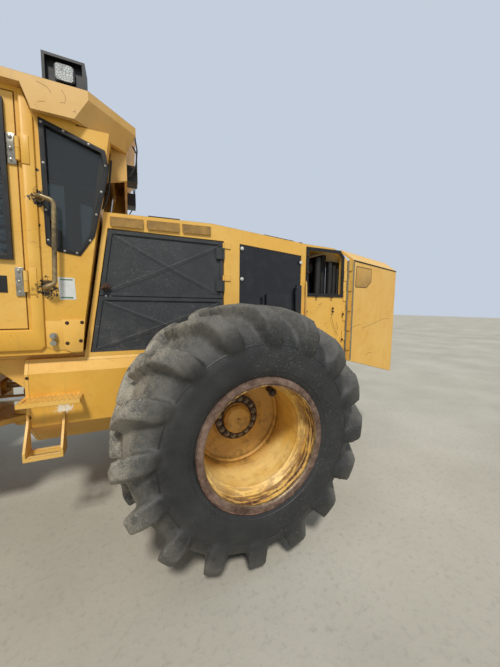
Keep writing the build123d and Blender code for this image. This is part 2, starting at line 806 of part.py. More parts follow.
def roof_plan(grow, lean):
    """The roof's plan, drawn in by a plate's thickness, with its rear corners leaning in."""
    half = roof_half_width - grow
    ahead = roof_front - grow
    shift = grow * 0.7
    side = [(ahead, 600 - shift), (roof_front - 180 - shift, half), (roof_corner_x + lean + shift, half),
            (roof_rear + grow + lean * roof_lean_ratio, roof_corner_y - shift - lean * 0.2)]
    return side + [(x, -y) for x, y in reversed(side)]


def roof_frustum(grow, z0, z1):
    """The roof's rim as a solid that narrows downwards at its rear corners."""
    low = Plane.XY.offset(z0) * Polygon(*roof_plan(grow, roof_lean), align=None)
    high = Plane.XY.offset(z1) * Polygon(*roof_plan(grow, 0), align=None)
    return loft([low.face(), high.face()], ruled=True)


def rear_visor():
    """Hood below the roof's rear edge, over the rear window."""
    x = visor_x
    low = roof_fascia - visor_drop
    heel, top = low - 35, roof_fascia + 20
    cheek = side_plate(((x, top), (x, low), (cab_rear(heel) - seat_gap, heel),
                        (cab_rear(top) - seat_gap, top)),
                       visor_half - 22, visor_half)
    back = block(x, x + 20, -visor_half, visor_half, low, top)
    return cheek + other_side(cheek) + back


def cab_roof():
    """Roof with a deep rim that steps up over the door, leaning rear corners and a rear visor."""
    slab = flat_plate(roof_plan(0, 0), cab_top, roof_top)
    rim = roof_frustum(0, roof_fascia, cab_top) - roof_frustum(30, roof_fascia - 5, cab_top + 5)
    ahead = roof_front + 10
    rim -= side_plate(((1256, roof_fascia - 5), (1307, roof_lip), (ahead, roof_lip),
                       (ahead, roof_fascia - 5)),
                      -roof_half_width - 5, roof_half_width + 5)
    return slab + rim + rear_visor()


write("cab_roof", cab_roof())

door_gap_box = (door_rear + door_gap, door_front - door_gap, door_bottom + door_gap, door_top - door_gap)


def cab_door():
    """Door frame with its window opening and hinge knuckles."""
    x0, x1, z0, z1 = door_gap_box
    outer = cab_half_width
    leaf = block(x0, x1, outer - cab_wall, outer, z0, z1)
    leaf -= block(x0 + 70, x1 - 70, outer - cab_wall - 5, outer + 5, door_glass_bottom, z1 - 80)
    for z in door_hinge_levels:
        leaf += block(x0 - 2, x0 + hinge_leaf, outer - 2, outer + 6, z + 1, z + 66)
        leaf += bar_z(door_rear - 5, outer + hinge_stand, 13, z + 1, z + 66)
        leaf += block(door_rear - 5, x0 + 8, outer + 2, outer + 10, z + 1, z + 66)
    return leaf


def door_guard():
    """Grid of flat bars over the door's window."""
    x0, x1, z0, z1 = door_gap_box
    left, right, low, high = x0 + hinge_leaf + 2, x1 - 40, door_glass_bottom - 30, z1 - 50
    face = cab_half_width
    guard = block(left, right, face, face + guard_stand + guard_bar, low, high)
    guard -= block(left + guard_edge, right - guard_edge, face - 5, face + guard_stand, low + guard_edge,
                   high - guard_edge)
    width = (right - left - 2 * guard_edge + guard_bar) / guard_columns
    height = (high - low - 2 * guard_edge + guard_bar) / guard_rows
    for i in range(guard_columns):
        for j in range(guard_rows):
            x, z = left + guard_edge + i * width, low + guard_edge + j * height
            guard -= block(x, x + width - guard_bar, face - 5, face + 50, z, z + height - guard_bar)
    return guard


write("cab_door", cab_door())
write("door_guard", door_guard())
x0, x1, z0, z1 = door_gap_box
write("cab_door_window", block(x0 + 70 + seat_gap, x1 - 70 - seat_gap, glass_y - glass, glass_y,
                               door_glass_bottom + seat_gap, z1 - 80 - seat_gap))

seat_x = 1480.0
floor_z = cab_bottom + cab_floor_plate
seat_base = block(seat_x - 180, seat_x + 160, -170, 170, floor_z, floor_z + 300)
seat_base += block(seat_x - 230, seat_x - 190, -200, 200, floor_z + 260, floor_z + 900)
seat_base += block(seat_x - 230, seat_x - 150, -120, 120, floor_z + 240, floor_z + 300)
for side in (-1, 1):
    seat_base += block(seat_x - 160, seat_x + 330, side * 300 - 60, side * 300 + 60, floor_z, floor_z + 560)
    seat_base += bar_z(seat_x + 260, side * 300, 14, floor_z + 560, floor_z + 690)
seat_base += block(seat_x - 230, seat_x + 100, -300, 300, floor_z, floor_z + 60)
write("cab_seat_frame", seat_base)
cushion = block(seat_x - 150, seat_x + 260, -230, 230, floor_z + 300 + seat_gap, floor_z + 410)
backrest = block(seat_x - 190 + seat_gap, seat_x - 90, -215, 215, floor_z + 420, floor_z + 1020)
write("cab_cushions", cushion, backrest)


# Work lamps: middle along, across and up, the way they face in degrees, width, height, depth
lamp_table = (
    (1081.0, 690.0, roof_top + 87.5, 90.0, 230.0, 175.0, 130.0),
    (1081.0, -690.0, roof_top + 87.5, -90.0, 230.0, 175.0, 130.0),
    (roof_front - 70, 450.0, roof_top + 75.0, 0.0, 200.0, 150.0, 120.0),
    (roof_front - 70, -450.0, roof_top + 75.0, 0.0, 200.0, 150.0, 120.0),
    (visor_x - 40.0 - seat_gap, 300.0, roof_fascia - 90, 180.0, 150.0, 120.0, 80.0),
    (visor_x - 40.0 - seat_gap, -300.0, roof_fascia - 90, 180.0, 150.0, 120.0, 80.0),
)
lamp_rim = 16.0
lamp_recess = 34.0


def lamp(width, height, depth):
    """An open-fronted box facing +X about its middle, with the lamp body inside."""
    box = Box(depth, width, height)
    mouth = Box(lamp_recess, width - 2 * lamp_rim, height - 2 * lamp_rim)
    box -= mouth.moved(Location(((depth - lamp_recess) / 2, 0, 0)))
    size = height * 0.62
    body = extrude(Plane.YZ.offset(depth / 2 - lamp_recess - 1) * RectangleRounded(size, size, size * 0.22),
                   amount=lamp_recess - 12)
    return box + body


def lens(width, height, depth):
    """The glass in front of a lamp."""
    size = height * 0.54
    start = depth / 2 - 13 + seat_gap
    return extrude(Plane.YZ.offset(start) * RectangleRounded(size, size, size * 0.2), amount=6)


def placed(shape, x, y, z, turn):
    return shape.moved(Location((x, y, z), (0, 0, turn)))


write("roof_lamps", *[placed(lamp(*size), x, y, z, turn) for x, y, z, turn, *size in lamp_table])
write("lamp_lenses", *[placed(lens(*size), x, y, z, turn) for x, y, z, turn, *size in lamp_table])

# Bent grab handle beside the door: mounts ahead, tube behind
handle_radius = 14.0
handle_bend = 32.0
handle_top = (1253.0, cab_bottom + 1009.0)
handle_foot = (1243.0, cab_bottom + 437.0)
handle_tube = (1165.0, 1183.0)
handle_stand = cab_half_width + 66.0
handle_points = (
    (handle_top[0], cab_half_width, handle_top[1]), (handle_top[0], handle_stand, handle_top[1]),
    (handle_tube[0], handle_stand, handle_top[1] - 26), (handle_tube[1], handle_stand, handle_foot[1] + 30),
    (handle_foot[0], handle_stand, handle_foot[1]), (handle_foot[0], cab_half_width, handle_foot[1]),
)
handle_path = FilletPolyline(*handle_points, radius=handle_bend)
rail = sweep(Plane(origin=handle_points[0], z_dir=(0, 1, 0)) * Circle(handle_radius), path=handle_path)
for x, z in (handle_top, handle_foot):
    rail += bar_y(x, z, handle_radius + 12, cab_half_width, cab_half_width + 10)
write("grab_handle", rail)


step_front = 1419.0
step_rear = 1070.0
step_reach = 130.0
step_teeth = 12
low_step = (1180.0, 1400.0)


def step():
    """Toothed bar below the door, and a hanging step under it."""
    pitch = (step_front - step_rear) / step_teeth
    outline = [(step_front, 1096), (step_rear, 1096)]
    for i in range(step_teeth):
        x = step_rear + i * pitch
        outline += [(x, 1124), (x + pitch * 0.5, 1136)]
    outline += [(step_front, 1124)]
    upper = side_plate(outline, frame_half_width, frame_half_width + step_reach)
    upper -= block(step_rear + 25, step_front - 25, frame_half_width + 30,
                   frame_half_width + step_reach - 30, 1090, 1150)
    rear, front = low_step
    low = block(rear, front, frame_half_width, frame_half_width + step_reach, 740, 766)
    low -= block(rear + 30, front - 30, frame_half_width + 35, frame_half_width + step_reach - 30, 735, 770)
    for x in (rear, front - 16):
        low += side_plate(((x, 740), (x + 16, 740), (x + 16, 1010), (x, 1010)), frame_half_width,
                          frame_half_width + 14)
        low += cross_plate(
            ((frame_half_width, 740), (frame_half_width + step_reach, 740),
             (frame_half_width + step_reach, 800), (frame_half_width, 1000)),
            x, x + 16)
    return upper, low


write("steps", *step())


# Cylinders: barrel and rod drawn along one line between two pins
def cylinder_barrel(base, eye, length, radius, rod_radius, half, across):
    """Barrel from its base eye, bored for the rod. across is the direction of its pins."""
    line = (Vector(*eye) - Vector(*base)).normalized()
    start = Vector(*base)
    body = bar_between(start + line * (eye_radius - 14), start + line * (neck_length + 5), half - 4)
    body += bar_between(start + line * neck_length, start + line * length, radius)
    body -= bar_between(start + line * (neck_length + 15), start + line * (length + 5),
                        rod_radius + pin_gap)
    head = bar_between(start - Vector(*across) * half, start + Vector(*across) * half, eye_radius)
    bore = bar_between(start - Vector(*across) * (half + 5), start + Vector(*across) * (half + 5),
                       cylinder_pin + pin_gap)
    return body + head - bore


def cylinder_rod(base, eye, start_at, rod_radius, half, across):
    """Rod with its eye at the far pin."""
    line = (Vector(*eye) - Vector(*base)).normalized()
    start = Vector(*base)
    body = bar_between(start + line * start_at, Vector(*eye) - line * (eye_radius - 12), rod_radius)
    end = bar_between(Vector(*eye) - Vector(*across) * half, Vector(*eye) + Vector(*across) * half,
                      eye_radius)
    return body + end


up = (0, 0, 1)
sideways = (0, 1, 0)
for name, side in (("left", 1), ("right", -1)):
    base = (steer_base[0], side * steer_base[1], steer_cylinder_z)
    eye = (steer_eye[0], side * steer_eye[1], steer_cylinder_z)
    write(f"steer_barrel_{name}", cylinder_barrel(base, eye, 560, 48, 28, eye_half, up))
    write(f"steer_rod_{name}", cylinder_rod(base, eye, 300, 28, eye_half, up))
    base = (lift_base[0], side * lift_cylinder_y, lift_base[1])
    eye = (lift_eye[0], side * lift_cylinder_y, lift_eye[1])
    write(f"lift_barrel_{name}", cylinder_barrel(base, eye, 610, 62, 36, 38, sideways))
    write(f"lift_rod_{name}", cylinder_rod(base, eye, 160, 36, 38, sideways))
base = (tilt_base[0], 0, tilt_base[1])
eye = (tilt_eye[0], 0, tilt_eye[1])
write("tilt_barrel", cylinder_barrel(base, eye, 770, 60, 36, 38, sideways))
write("tilt_rod", cylinder_rod(base, eye, 430, 36, 38, sideways))


# Front frame
def front_frame():
    """Side plates with their lift towers, cross plates, steering ears and cylinder lugs."""
    top_of_tunnel = tyre_radius + axle_pad_height
    lift_x = lift_pivot[0]
    outline = (
        (front_frame_rear, 700), (front_frame_rear, 1330), (lift_x - 310, 1330), (lift_x - 150, 1480),
        (lift_x - 110, 1900), (lift_x - 50, 1950), (lift_x + 60, 1950), (lift_x + 120, 1900),
        (lift_x + 220, 1650),
        (lift_x + 310, 1340), (front_frame_front, 1240), (front_frame_front, 680),
        (wheelbase + tunnel_half + 40, 680), (wheelbase + tunnel_half, 720),
        (wheelbase + tunnel_half, top_of_tunnel),
        (wheelbase - tunnel_half, top_of_tunnel), (wheelbase - tunnel_half, 720),
        (wheelbase - tunnel_half - 40, 700),
    )
    half = front_frame_half
    plate = side_plate(outline, half - front_plate, half)
    body = plate + other_side(plate)
    between = half - front_plate + 1
    body += block(front_frame_rear, front_frame_rear + front_plate, -between, between, 700, 1330)
    body += block(front_frame_rear, lift_x - 310, -between, between, 1300, 1330)
    body += block(front_frame_rear, wheelbase - tunnel_half - 40, -between, between, 700, 725)
    body += block(wheelbase + tunnel_half + 40, front_frame_front, -between, between, 680, 705)
    for y in (between - 10, -axle_pad_outer):
        body += block(wheelbase - tunnel_half, wheelbase + tunnel_half, y,
                      y + axle_pad_outer - between + 10, top_of_tunnel, top_of_tunnel + 25)
    body += block(front_frame_front - 30, front_frame_front, -between, between, 680, 1160)
    lift_wall = wheelbase - tunnel_half - 65
    body += block(lift_wall, lift_wall + 25, -between, between, 700, lift_base[1] + 45)
    body -= block(lift_wall - 5, lift_wall + 30, lift_cylinder_y - 42, lift_cylinder_y + 42,
                  lift_base[1] - 50, lift_base[1] + 50)
    body -= block(lift_wall - 5, lift_wall + 30, -lift_cylinder_y - 42, -lift_cylinder_y + 42,
                  lift_base[1] - 50, lift_base[1] + 50)
    for level in steer_levels:
        body += steer_ear_plate(level)
    for side in (-1, 1):
        for y in (lift_cylinder_y - 38 - running_gap - 22, lift_cylinder_y + 38 + running_gap):
            lug_side = side_plate(
                ((lift_wall + 10, lift_base[1] - 120), (lift_wall + 10, lift_base[1] + 45),
                 (lift_base[0], lift_base[1] + 45),
                 (lift_base[0] + 40, lift_base[1] + 20), (lift_base[0] + 40, lift_base[1] - 20)), y, y + 22)
            body += lug_side if side == 1 else other_side(lug_side)
        inner_pin = bar_y(lift_base[0], lift_base[1], cylinder_pin, lift_cylinder_y - 70,
                          lift_cylinder_y + 70)
        outer_pin = bar_y(*lift_pivot, lift_pin_radius, half - front_plate - 10, arm_outer + 8)
        for pin in (inner_pin, outer_pin):
            body += pin if side == 1 else other_side(pin)
        body += bar_z(steer_base[0], side * steer_base[1], cylinder_pin, steer_cylinder_z - 70,
                      steer_cylinder_z + 70)
        window_y = side * steer_base[1]
        body -= block(front_frame_rear - 5, front_frame_rear + front_plate + 5, window_y - 110,
                      window_y + 115,
                      steer_cylinder_z - 70, steer_cylinder_z + 70)
    for z in (steer_cylinder_z - eye_half - running_gap - 24, steer_cylinder_z + eye_half + running_gap):
        body += block(steer_base[0] - 60, steer_base[0] + 60, -between, between, z, z + 24)
    return body + flat_eyes(tie_front, front_frame_front - 5)


write("front_frame", front_frame())


# Side view of a lift arm, x measured from the front axle
arm_outline = (
    (-450, 1900), (-360, 1940), (270, 1930), (650, 1760), (1270, 980), (1250, 840), (1130, 800),
    (750, 1180),
    (330, 1470), (-350, 1715), (-450, 1750),
)


def lift_arm():
    """Two curved side arms joined by two cross tubes, with the cylinders' lugs."""
    arm = side_plate([(wheelbase + x, z) for x, z in arm_outline], arm_inner, arm_outer)
    arm -= bar_y(*lift_pivot, lift_pin_radius + pin_gap, arm_inner - 5, arm_outer + 5)
    body = arm + other_side(arm)
    body += bar_y(lift_eye[0], lift_eye[1] + 125, 60, -arm_inner - 2, arm_inner + 2)
    body += bar_y(tilt_base[0], tilt_base[1] - 140, 70, -arm_inner - 2, arm_inner + 2)
    for side in (-1, 1):
        for y in (lift_cylinder_y - 38 - running_gap - 20, lift_cylinder_y + 38 + running_gap):
            ear = block(lift_eye[0] - 45, lift_eye[0] + 45, y, y + 20, lift_eye[1] - 40, lift_eye[1] + 125)
            body += ear if side == 1 else other_side(ear)
        pin = bar_y(*hitch_pin, lift_pin_radius, tower_half - 6, arm_outer + 8)
        body += pin if side == 1 else other_side(pin)
        ear = block(tilt_base[0] - 45, tilt_base[0] + 45, 38 + running_gap, 60 + running_gap,
                    tilt_base[1] - 140, tilt_base[1] + 45)
        body += ear if side == 1 else other_side(ear)
    body += bar_y(*tilt_base, cylinder_pin, -60, 60)
    return body


write("lift_arm", lift_arm())


# Felling head
def head_tower():
    """Upright frame of the head with its hitch plates and arm pivots."""
    side = side_plate(
        ((tower_rear, shroud_top), (tower_front, shroud_top), (tower_front, 1750),
         (tower_front - 150, tower_top), (tower_rear, tower_top)),
        tower_half - tower_wall, tower_half)
    body = side + other_side(side)
    inside = tower_half - tower_wall + 1
    body += block(tower_rear, tower_rear + tower_wall, -inside, inside, shroud_top, tower_top)
    for z in (shroud_top, 900.0, 1300.0, 1750.0, tower_top - 25):
        depth = tower_front - 40 if z < 1800 else tower_front - 190
        body += block(tower_rear, depth, -inside, inside, z, z + 25)
    hitch = side_plate(
        ((tower_rear + 5, 640), (hitch_pin[0] - 30, 790), (hitch_pin[0] - 95, hitch_pin[1] - 30),
         (hitch_pin[0] - 95, hitch_pin[1] + 60),
         (tilt_eye[0] - 50, tilt_eye[1]), (tower_rear + 5, tilt_eye[1] + 160)), tower_half - 8,
         tower_half + 32)
    hitch -= bar_y(*hitch_pin, lift_pin_radius + pin_gap, tower_half - 20, tower_half + 60)
    body += hitch + other_side(hitch)
    for side_sign in (-1, 1):
        ear = side_plate(
            ((tower_rear + 5, tilt_eye[1] - 120), (tilt_eye[0], tilt_eye[1] - 50),
             (tilt_eye[0] - 45, tilt_eye[1]),
             (tilt_eye[0], tilt_eye[1] + 50), (tower_rear + 5, tilt_eye[1] + 120)), 38 + running_gap,
             60 + running_gap)
        body += ear if side_sign == 1 else other_side(ear)
    for level, side_sign in zip(clamp_levels, (1, -1)):
        for z in (level - 40 - running_gap, level + arm_height + running_gap):
            shelf = flat_plate(
                ((tower_front - 200, tower_half - 5), (tower_front - 200, clamp_pivot_y + 20),
                 (clamp_pivot_x - 20, clamp_pivot_y + 50), (clamp_pivot_x + 20, clamp_pivot_y + 50),
                 (tower_front, clamp_pivot_y), (tower_front, tower_half - 5)), z, z + 40)
            body += shelf if side_sign == 1 else other_side(shelf)
        pin = bar_z(clamp_pivot_x, clamp_pivot_y, clamp_pin_radius, level - 50, level + arm_height + 50)
        body += pin if side_sign == 1 else other_side(pin)
    return body


write("head_tower", head_tower())


def saw_shroud():
    """Round cover of the saw with its open throat, rim and floor plate."""
    top = bar_z(saw_x, 0, shroud_radius, shroud_top - shroud_plate, shroud_top)
    wall = bar_z(saw_x, 0, shroud_radius, head_bottom, shroud_top)
    wall -= bar_z(saw_x, 0, shroud_radius - shroud_plate, head_bottom - 5, shroud_top + 5)
    floor = bar_z(saw_x, 0, shroud_radius, head_bottom, head_bottom + shroud_plate)
    reach = shroud_radius + 20
    floor -= block(saw_x + 60, saw_x + reach, -reach, reach, head_bottom - 5, head_bottom + 50)
    body = top + wall + floor
    mouth = flat_plate(
        ((saw_x + 110, -throat_half), (saw_x + 520, -throat_half), (saw_x + reach, -throat_half - 200),
         (saw_x + reach, throat_half + 200), (saw_x + 520, throat_half), (saw_x + 110, throat_half)),
        head_bottom - 5, shroud_top + 5)
    body -= mouth
    body += bar_z(saw_x, 0, saw_bore, saw_level - 20, shroud_top - shroud_plate + 2)
    return body


write("saw_shroud", saw_shroud())


def saw_disc():
    """Saw blade with its teeth and hub."""
    blade = bar_z(saw_x, 0, saw_radius, saw_level, saw_level + saw_plate)
    blade += bar_z(saw_x, 0, 150, saw_level - 12, saw_level + 50)
    for i in range(saw_teeth):
        tooth = flat_plate(
            ((saw_radius - 34, -30), (saw_radius - 34, 26), (saw_radius - 2, 30),
             (saw_radius + saw_tooth, 24),
             (saw_radius + saw_tooth - 6, -10)), saw_level - 6, saw_level + saw_plate + 6)
        blade += tooth.moved(Location((0, 0, 0),
                                      (0, 0, i * 360.0 / saw_teeth))).moved(Location((saw_x, 0, 0)))
    for i in range(saw_teeth // 3):
        pocket = bar_z(saw_radius * 0.62, 0, 62, saw_level - 5, saw_level + saw_plate + 5)
        blade -= pocket.moved(Location((0, 0, 0),
                                       (0, 0, i * 1080.0 / saw_teeth))).moved(Location((saw_x, 0, 0)))
    return blade - bar_z(saw_x, 0, saw_bore + pin_gap, saw_level - 30, saw_level + 80)


write("saw_disc", saw_disc())


def clamp_arm(level, finger):
    """Curved arm about an upright pin, closed across the front of the pocket."""
    centre_x = clamp_pivot_x + 250
    top = level + arm_height
    ring = bar_z(centre_x, 0, finger + 40, level, top) - bar_z(centre_x, 0, finger - 30, level - 5, top + 5)
    hook = ring - block(centre_x - 600, centre_x, -600, 600, level - 5, top + 5)
    hook -= block(centre_x - 5, centre_x + 600, -600, -120, level - 5, top + 5)
    root = flat_plate(
        ((clamp_pivot_x - 30, clamp_pivot_y + 40), (centre_x + 2, finger + 38), (centre_x + 2, finger - 28),
         (clamp_pivot_x + 20, clamp_pivot_y - 40)), level, top)
    arm = hook + root + bar_z(clamp_pivot_x, clamp_pivot_y, 55, level, top)
    return arm - bar_z(clamp_pivot_x, clamp_pivot_y, clamp_pin_radius + pin_gap, level - 5, top + 5)


write("clamp_arm", clamp_arm(clamp_levels[0], 380.0))
write("accumulator_arm", other_side(clamp_arm(clamp_levels[1], 380.0)))
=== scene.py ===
# %% [markdown]
# # A worn wheeled feller buncher
# This script dresses the construction model of a forestry machine that is hinged in the middle and stands on four
# wide tyres. The solids carry the sizes and the joints. Here they get their rubber, paint, rust, bolts and hoses.
# Every length is in metres, +X points forward, +Y to the machine's left and +Z up.

# %% Load the construction model
import math

import bpy
from mathutils import Matrix, Vector


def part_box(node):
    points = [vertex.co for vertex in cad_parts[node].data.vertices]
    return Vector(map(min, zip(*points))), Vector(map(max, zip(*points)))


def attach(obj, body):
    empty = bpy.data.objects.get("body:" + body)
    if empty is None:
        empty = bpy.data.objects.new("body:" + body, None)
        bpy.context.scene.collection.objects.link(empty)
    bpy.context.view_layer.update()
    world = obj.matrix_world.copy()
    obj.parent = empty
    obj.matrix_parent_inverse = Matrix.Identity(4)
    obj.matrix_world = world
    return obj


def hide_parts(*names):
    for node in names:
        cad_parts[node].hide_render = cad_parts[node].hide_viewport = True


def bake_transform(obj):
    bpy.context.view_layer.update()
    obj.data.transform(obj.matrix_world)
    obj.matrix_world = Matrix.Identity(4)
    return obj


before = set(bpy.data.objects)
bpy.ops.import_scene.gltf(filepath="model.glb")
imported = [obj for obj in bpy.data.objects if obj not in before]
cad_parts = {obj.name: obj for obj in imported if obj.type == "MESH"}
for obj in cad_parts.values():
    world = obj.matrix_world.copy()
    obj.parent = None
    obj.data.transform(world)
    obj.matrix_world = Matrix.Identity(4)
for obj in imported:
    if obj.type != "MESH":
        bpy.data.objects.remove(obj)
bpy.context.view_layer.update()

# %% [markdown]
# Most measurements on this machine were taken from the rear axle. Reading the axle's own place from the model
# keeps the script right if the whole machine is ever shifted.

# %% Places that everything else is measured from
def middle(node):
    """The middle of one piece's box."""
    low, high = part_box(node)
    return (low + high) / 2


axle_x = middle("rear_axle").x
axle_z = middle("rear_axle").z
wheelbase = middle("front_axle").x - axle_x
track_half = middle("tyre_rear_left").y
tyre_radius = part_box("tyre_rear_left")[1].z - axle_z
tyre_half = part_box("tyre_rear_left")[1].y - track_half
housing_side = -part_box("side_frame_right")[0].y
cab_side = 0.720
print("wheelbase", round(wheelbase, 3), "tyre radius", round(tyre_radius, 3))


def spot(x, y, z):
    """A point measured from the rear axle, given in the model's own coordinates."""
    return Vector((axle_x + x, y, z))


# %% [markdown]
# ## Working by hand, in code
# A modeller at the screen adds a primitive, goes into edit mode, extrudes and bevels, and applies modifiers. The
# helpers below do the same with operators. Operators act on whatever is selected, so each one starts by
# deselecting everything: the loaded pieces arrive selected.

# %% Selecting, modes and modifiers
def only(piece):
    """Make one piece the only selected and active one."""
    bpy.ops.object.select_all(action="DESELECT")
    piece.select_set(True)
    bpy.context.view_layer.objects.active = piece
    return piece


def edit(piece, select="SELECT"):
    """Enter edit mode on one piece with everything, or nothing, selected."""
    only(piece)
    bpy.ops.object.mode_set(mode="EDIT")
    bpy.ops.mesh.select_all(action=select)


def leave():
    bpy.ops.object.mode_set(mode="OBJECT")


def modifier(piece, kind, **settings):
    """Add one modifier, set it and apply it."""
    step = piece.modifiers.new(kind.title(), kind)
    for key, value in settings.items():
        setattr(step, key, value)
    only(piece)
    bpy.ops.object.modifier_apply(modifier=step.name)
    return piece


def soften(piece, width, segments=2, angle=30):
    """Round the sharp edges, as on folded plate and castings."""
    return modifier(piece, "BEVEL", width=width, segments=segments, limit_method="ANGLE",
                    angle_limit=math.radians(angle), harden_normals=False)


def tidy(piece):
    """Merge doubles and turn every face outwards."""
    edit(piece)
    bpy.ops.mesh.remove_doubles(threshold=0.00002)
    bpy.ops.mesh.normals_make_consistent(inside=False)
    leave()
    return piece


def named(piece, name):
    piece.name = name
    piece.data.name = name
    return piece


# %% [markdown]
# Four shapes cover most of the machine: a box with softened edges, a plate cut to an outline, a bar or hose along
# a line, and a turned ring. Each begins with a primitive whose points are set to the wanted places.

# %% Boxes and plates
def box(name, low, high, round_edges=0.004):
    """A block between two corners with softened edges."""
    low, high = Vector(low), Vector(high)
    bpy.ops.object.select_all(action="DESELECT")
    bpy.ops.mesh.primitive_cube_add(size=1)
    piece = named(bpy.context.active_object, name)
    for point in piece.data.vertices:
        share = point.co + Vector((0.5, 0.5, 0.5))
        point.co = Vector(a + (b - a) * s for a, b, s in zip(low, high, share))
    if round_edges:
        soften(piece, round_edges)
    return piece


def sheet_metal(name, outline, push, round_edges=0.003):
    """A plate cut to an outline of points, then given its thickness by pushing the face along a vector."""
    bpy.ops.object.select_all(action="DESELECT")
    bpy.ops.mesh.primitive_circle_add(vertices=len(outline), fill_type="NGON")
    piece = named(bpy.context.active_object, name)
    for point, place in zip(piece.data.vertices, outline):
        point.co = place
    edit(piece)
    bpy.ops.mesh.extrude_region_move(TRANSFORM_OT_translate={"value": tuple(push)})
    bpy.ops.mesh.select_all(action="SELECT")
    bpy.ops.mesh.normals_make_consistent(inside=False)
    leave()
    if round_edges:
        soften(piece, round_edges)
    return piece


def side_sheet(name, outline, y, thickness, round_edges=0.003):
    """A plate on the machine's flank: outline in (x, z) from the rear axle, standing out from y."""
    return sheet_metal(name, [spot(x, y, z) for x, z in outline], (0, thickness, 0), round_edges)


# %% Bars, hoses and turned rings
def bar(name, points, radius, sides=10, smooth=False):
    """A round bar or hose along points, as a bevelled curve made into a mesh."""
    curve = bpy.data.curves.new(name, "CURVE")
    curve.dimensions = "3D"
    curve.bevel_depth = radius
    curve.bevel_resolution = max(1, sides // 4)
    curve.use_fill_caps = True
    line = curve.splines.new("NURBS" if smooth else "POLY")
    line.points.add(len(points) - 1)
    for target, place in zip(line.points, points):
        target.co = (*place, 1.0)
    if smooth:
        line.order_u = 3
        line.use_endpoint_u = True
        curve.resolution_u = 6
    piece = bpy.data.objects.new(name, curve)
    bpy.context.scene.collection.objects.link(piece)
    only(piece)
    bpy.ops.object.convert(target="MESH")
    return named(bpy.context.active_object, name)


def turned(name, profile, centre, steps=64):
    """A ring turned about the across axis: profile in (radius, distance along the axis), closed."""
    bpy.ops.object.select_all(action="DESELECT")
    bpy.ops.mesh.primitive_circle_add(vertices=len(profile), fill_type="NOTHING")
    piece = named(bpy.context.active_object, name)
    for point, (radius, along) in zip(piece.data.vertices, profile):
        point.co = centre + Vector((0, along, radius))
    edit(piece)
    bpy.ops.mesh.spin(steps=steps, angle=math.tau, center=centre, axis=(0, 1, 0))
    leave()
    return tidy(piece)


# %% Copies, joins and mirrors
def copied(piece, name, matrix=Matrix.Identity(4)):
    """A copy with its own mesh, moved by a matrix."""
    twin = piece.copy()
    twin.data = piece.data.copy()
    bpy.context.scene.collection.objects.link(twin)
    twin.data.transform(matrix)
    return named(twin, name)


def other_side(piece, name):
    """The same piece on the machine's right."""
    twin = copied(piece, name, Matrix.Diagonal((1, -1, 1, 1)))
    twin.data.flip_normals()
    return twin


def joined(pieces, name):
    """Several pieces as one mesh."""
    bpy.ops.object.select_all(action="DESELECT")
    for piece in pieces:
        piece.select_set(True)
    bpy.context.view_layer.objects.active = pieces[0]
    if len(pieces) > 1:
        bpy.ops.object.join()
    return named(bpy.context.active_object, name)


def bolts(name, spots, out, radius=0.011, tall=0.009, sides=6):
    """Like bolt heads with washers on a surface that faces out, modelled once and copied."""
    bpy.ops.object.select_all(action="DESELECT")
    bpy.ops.mesh.primitive_cylinder_add(vertices=sides, radius=radius, depth=tall * 2)
    head = named(bpy.context.active_object, name)
    edit(head, "DESELECT")
    leave()
    for face in head.data.polygons:
        face.select = face.normal.z > 0.9
    only(head)
    bpy.ops.object.mode_set(mode="EDIT")
    bpy.ops.mesh.inset(thickness=radius * 0.22)
    bpy.ops.transform.translate(value=(0, 0, radius * 0.12))
    leave()
    bpy.ops.object.select_all(action="DESELECT")
    bpy.ops.mesh.primitive_cylinder_add(vertices=12, radius=radius * 1.55, depth=tall * 0.5)
    one = joined([head, bpy.context.active_object], name)
    turn = Vector(out).to_track_quat("Z", "Y").to_matrix().to_4x4()
    pieces = [copied(one, name, Matrix.Translation(place) @ turn) for place in spots]
    bpy.data.objects.remove(one)
    return joined(pieces, name)


def flank_bolts(name, places, y, radius=0.011, tall=0.009):
    """Bolt heads on the left flank, from (x, z) places."""
    return bolts(name, [spot(x, y, z) for x, z in places], (0, 1, 0), radius, tall)


def dressed(piece, body, material, angle=35):
    """Give a finished piece its shading, finish and the body that it moves with (none for a piece that bends)."""
    only(piece)
    bpy.ops.object.shade_smooth_by_angle(angle=math.radians(angle))
    piece.data.materials.clear()
    piece.data.materials.append(material)
    if body:
        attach(piece, body)
    return piece


# %% [markdown]
# ## Shader maths as plain expressions
# A material is easier to read when its masks look like arithmetic. The small class below wraps one socket, so
# that `1 - mask` or `grime * 0.5` adds the right Math node behind the scenes.

# %% A socket that can be calculated with
def plug(tree, slot, value):
    """Link a wire into a socket, or set the socket to a plain value."""
    if isinstance(value, Wire):
        tree.links.new(value.socket, slot)
    elif value is not None:
        slot.default_value = value


class Wire:
    """One socket of a shader, with the usual signs."""

    def __init__(self, tree, socket):
        self.tree = tree
        self.socket = socket

    def maths(self, operation, first, second, clamp=False):
        step = self.tree.nodes.new("ShaderNodeMath")
        step.operation = operation
        step.use_clamp = clamp
        plug(self.tree, step.inputs[0], first)
        plug(self.tree, step.inputs[1], second)
        return Wire(self.tree, step.outputs[0])

    def __add__(self, other):
        return self.maths("ADD", self, other)

    __radd__ = __add__

    def __sub__(self, other):
        return self.maths("SUBTRACT", self, other)

    def __rsub__(self, other):
        return self.maths("SUBTRACT", other, self)

    def __mul__(self, other):
        return self.maths("MULTIPLY", self, other)

    __rmul__ = __mul__

    def __truediv__(self, other):
        return self.maths("DIVIDE", self, other)

    def above(self, level):
        return self.maths("GREATER_THAN", self, level)

    def highest(self, other):
        return self.maths("MAXIMUM", self, other)

    def clipped(self):
        return self.maths("ADD", self, 0.0, clamp=True)


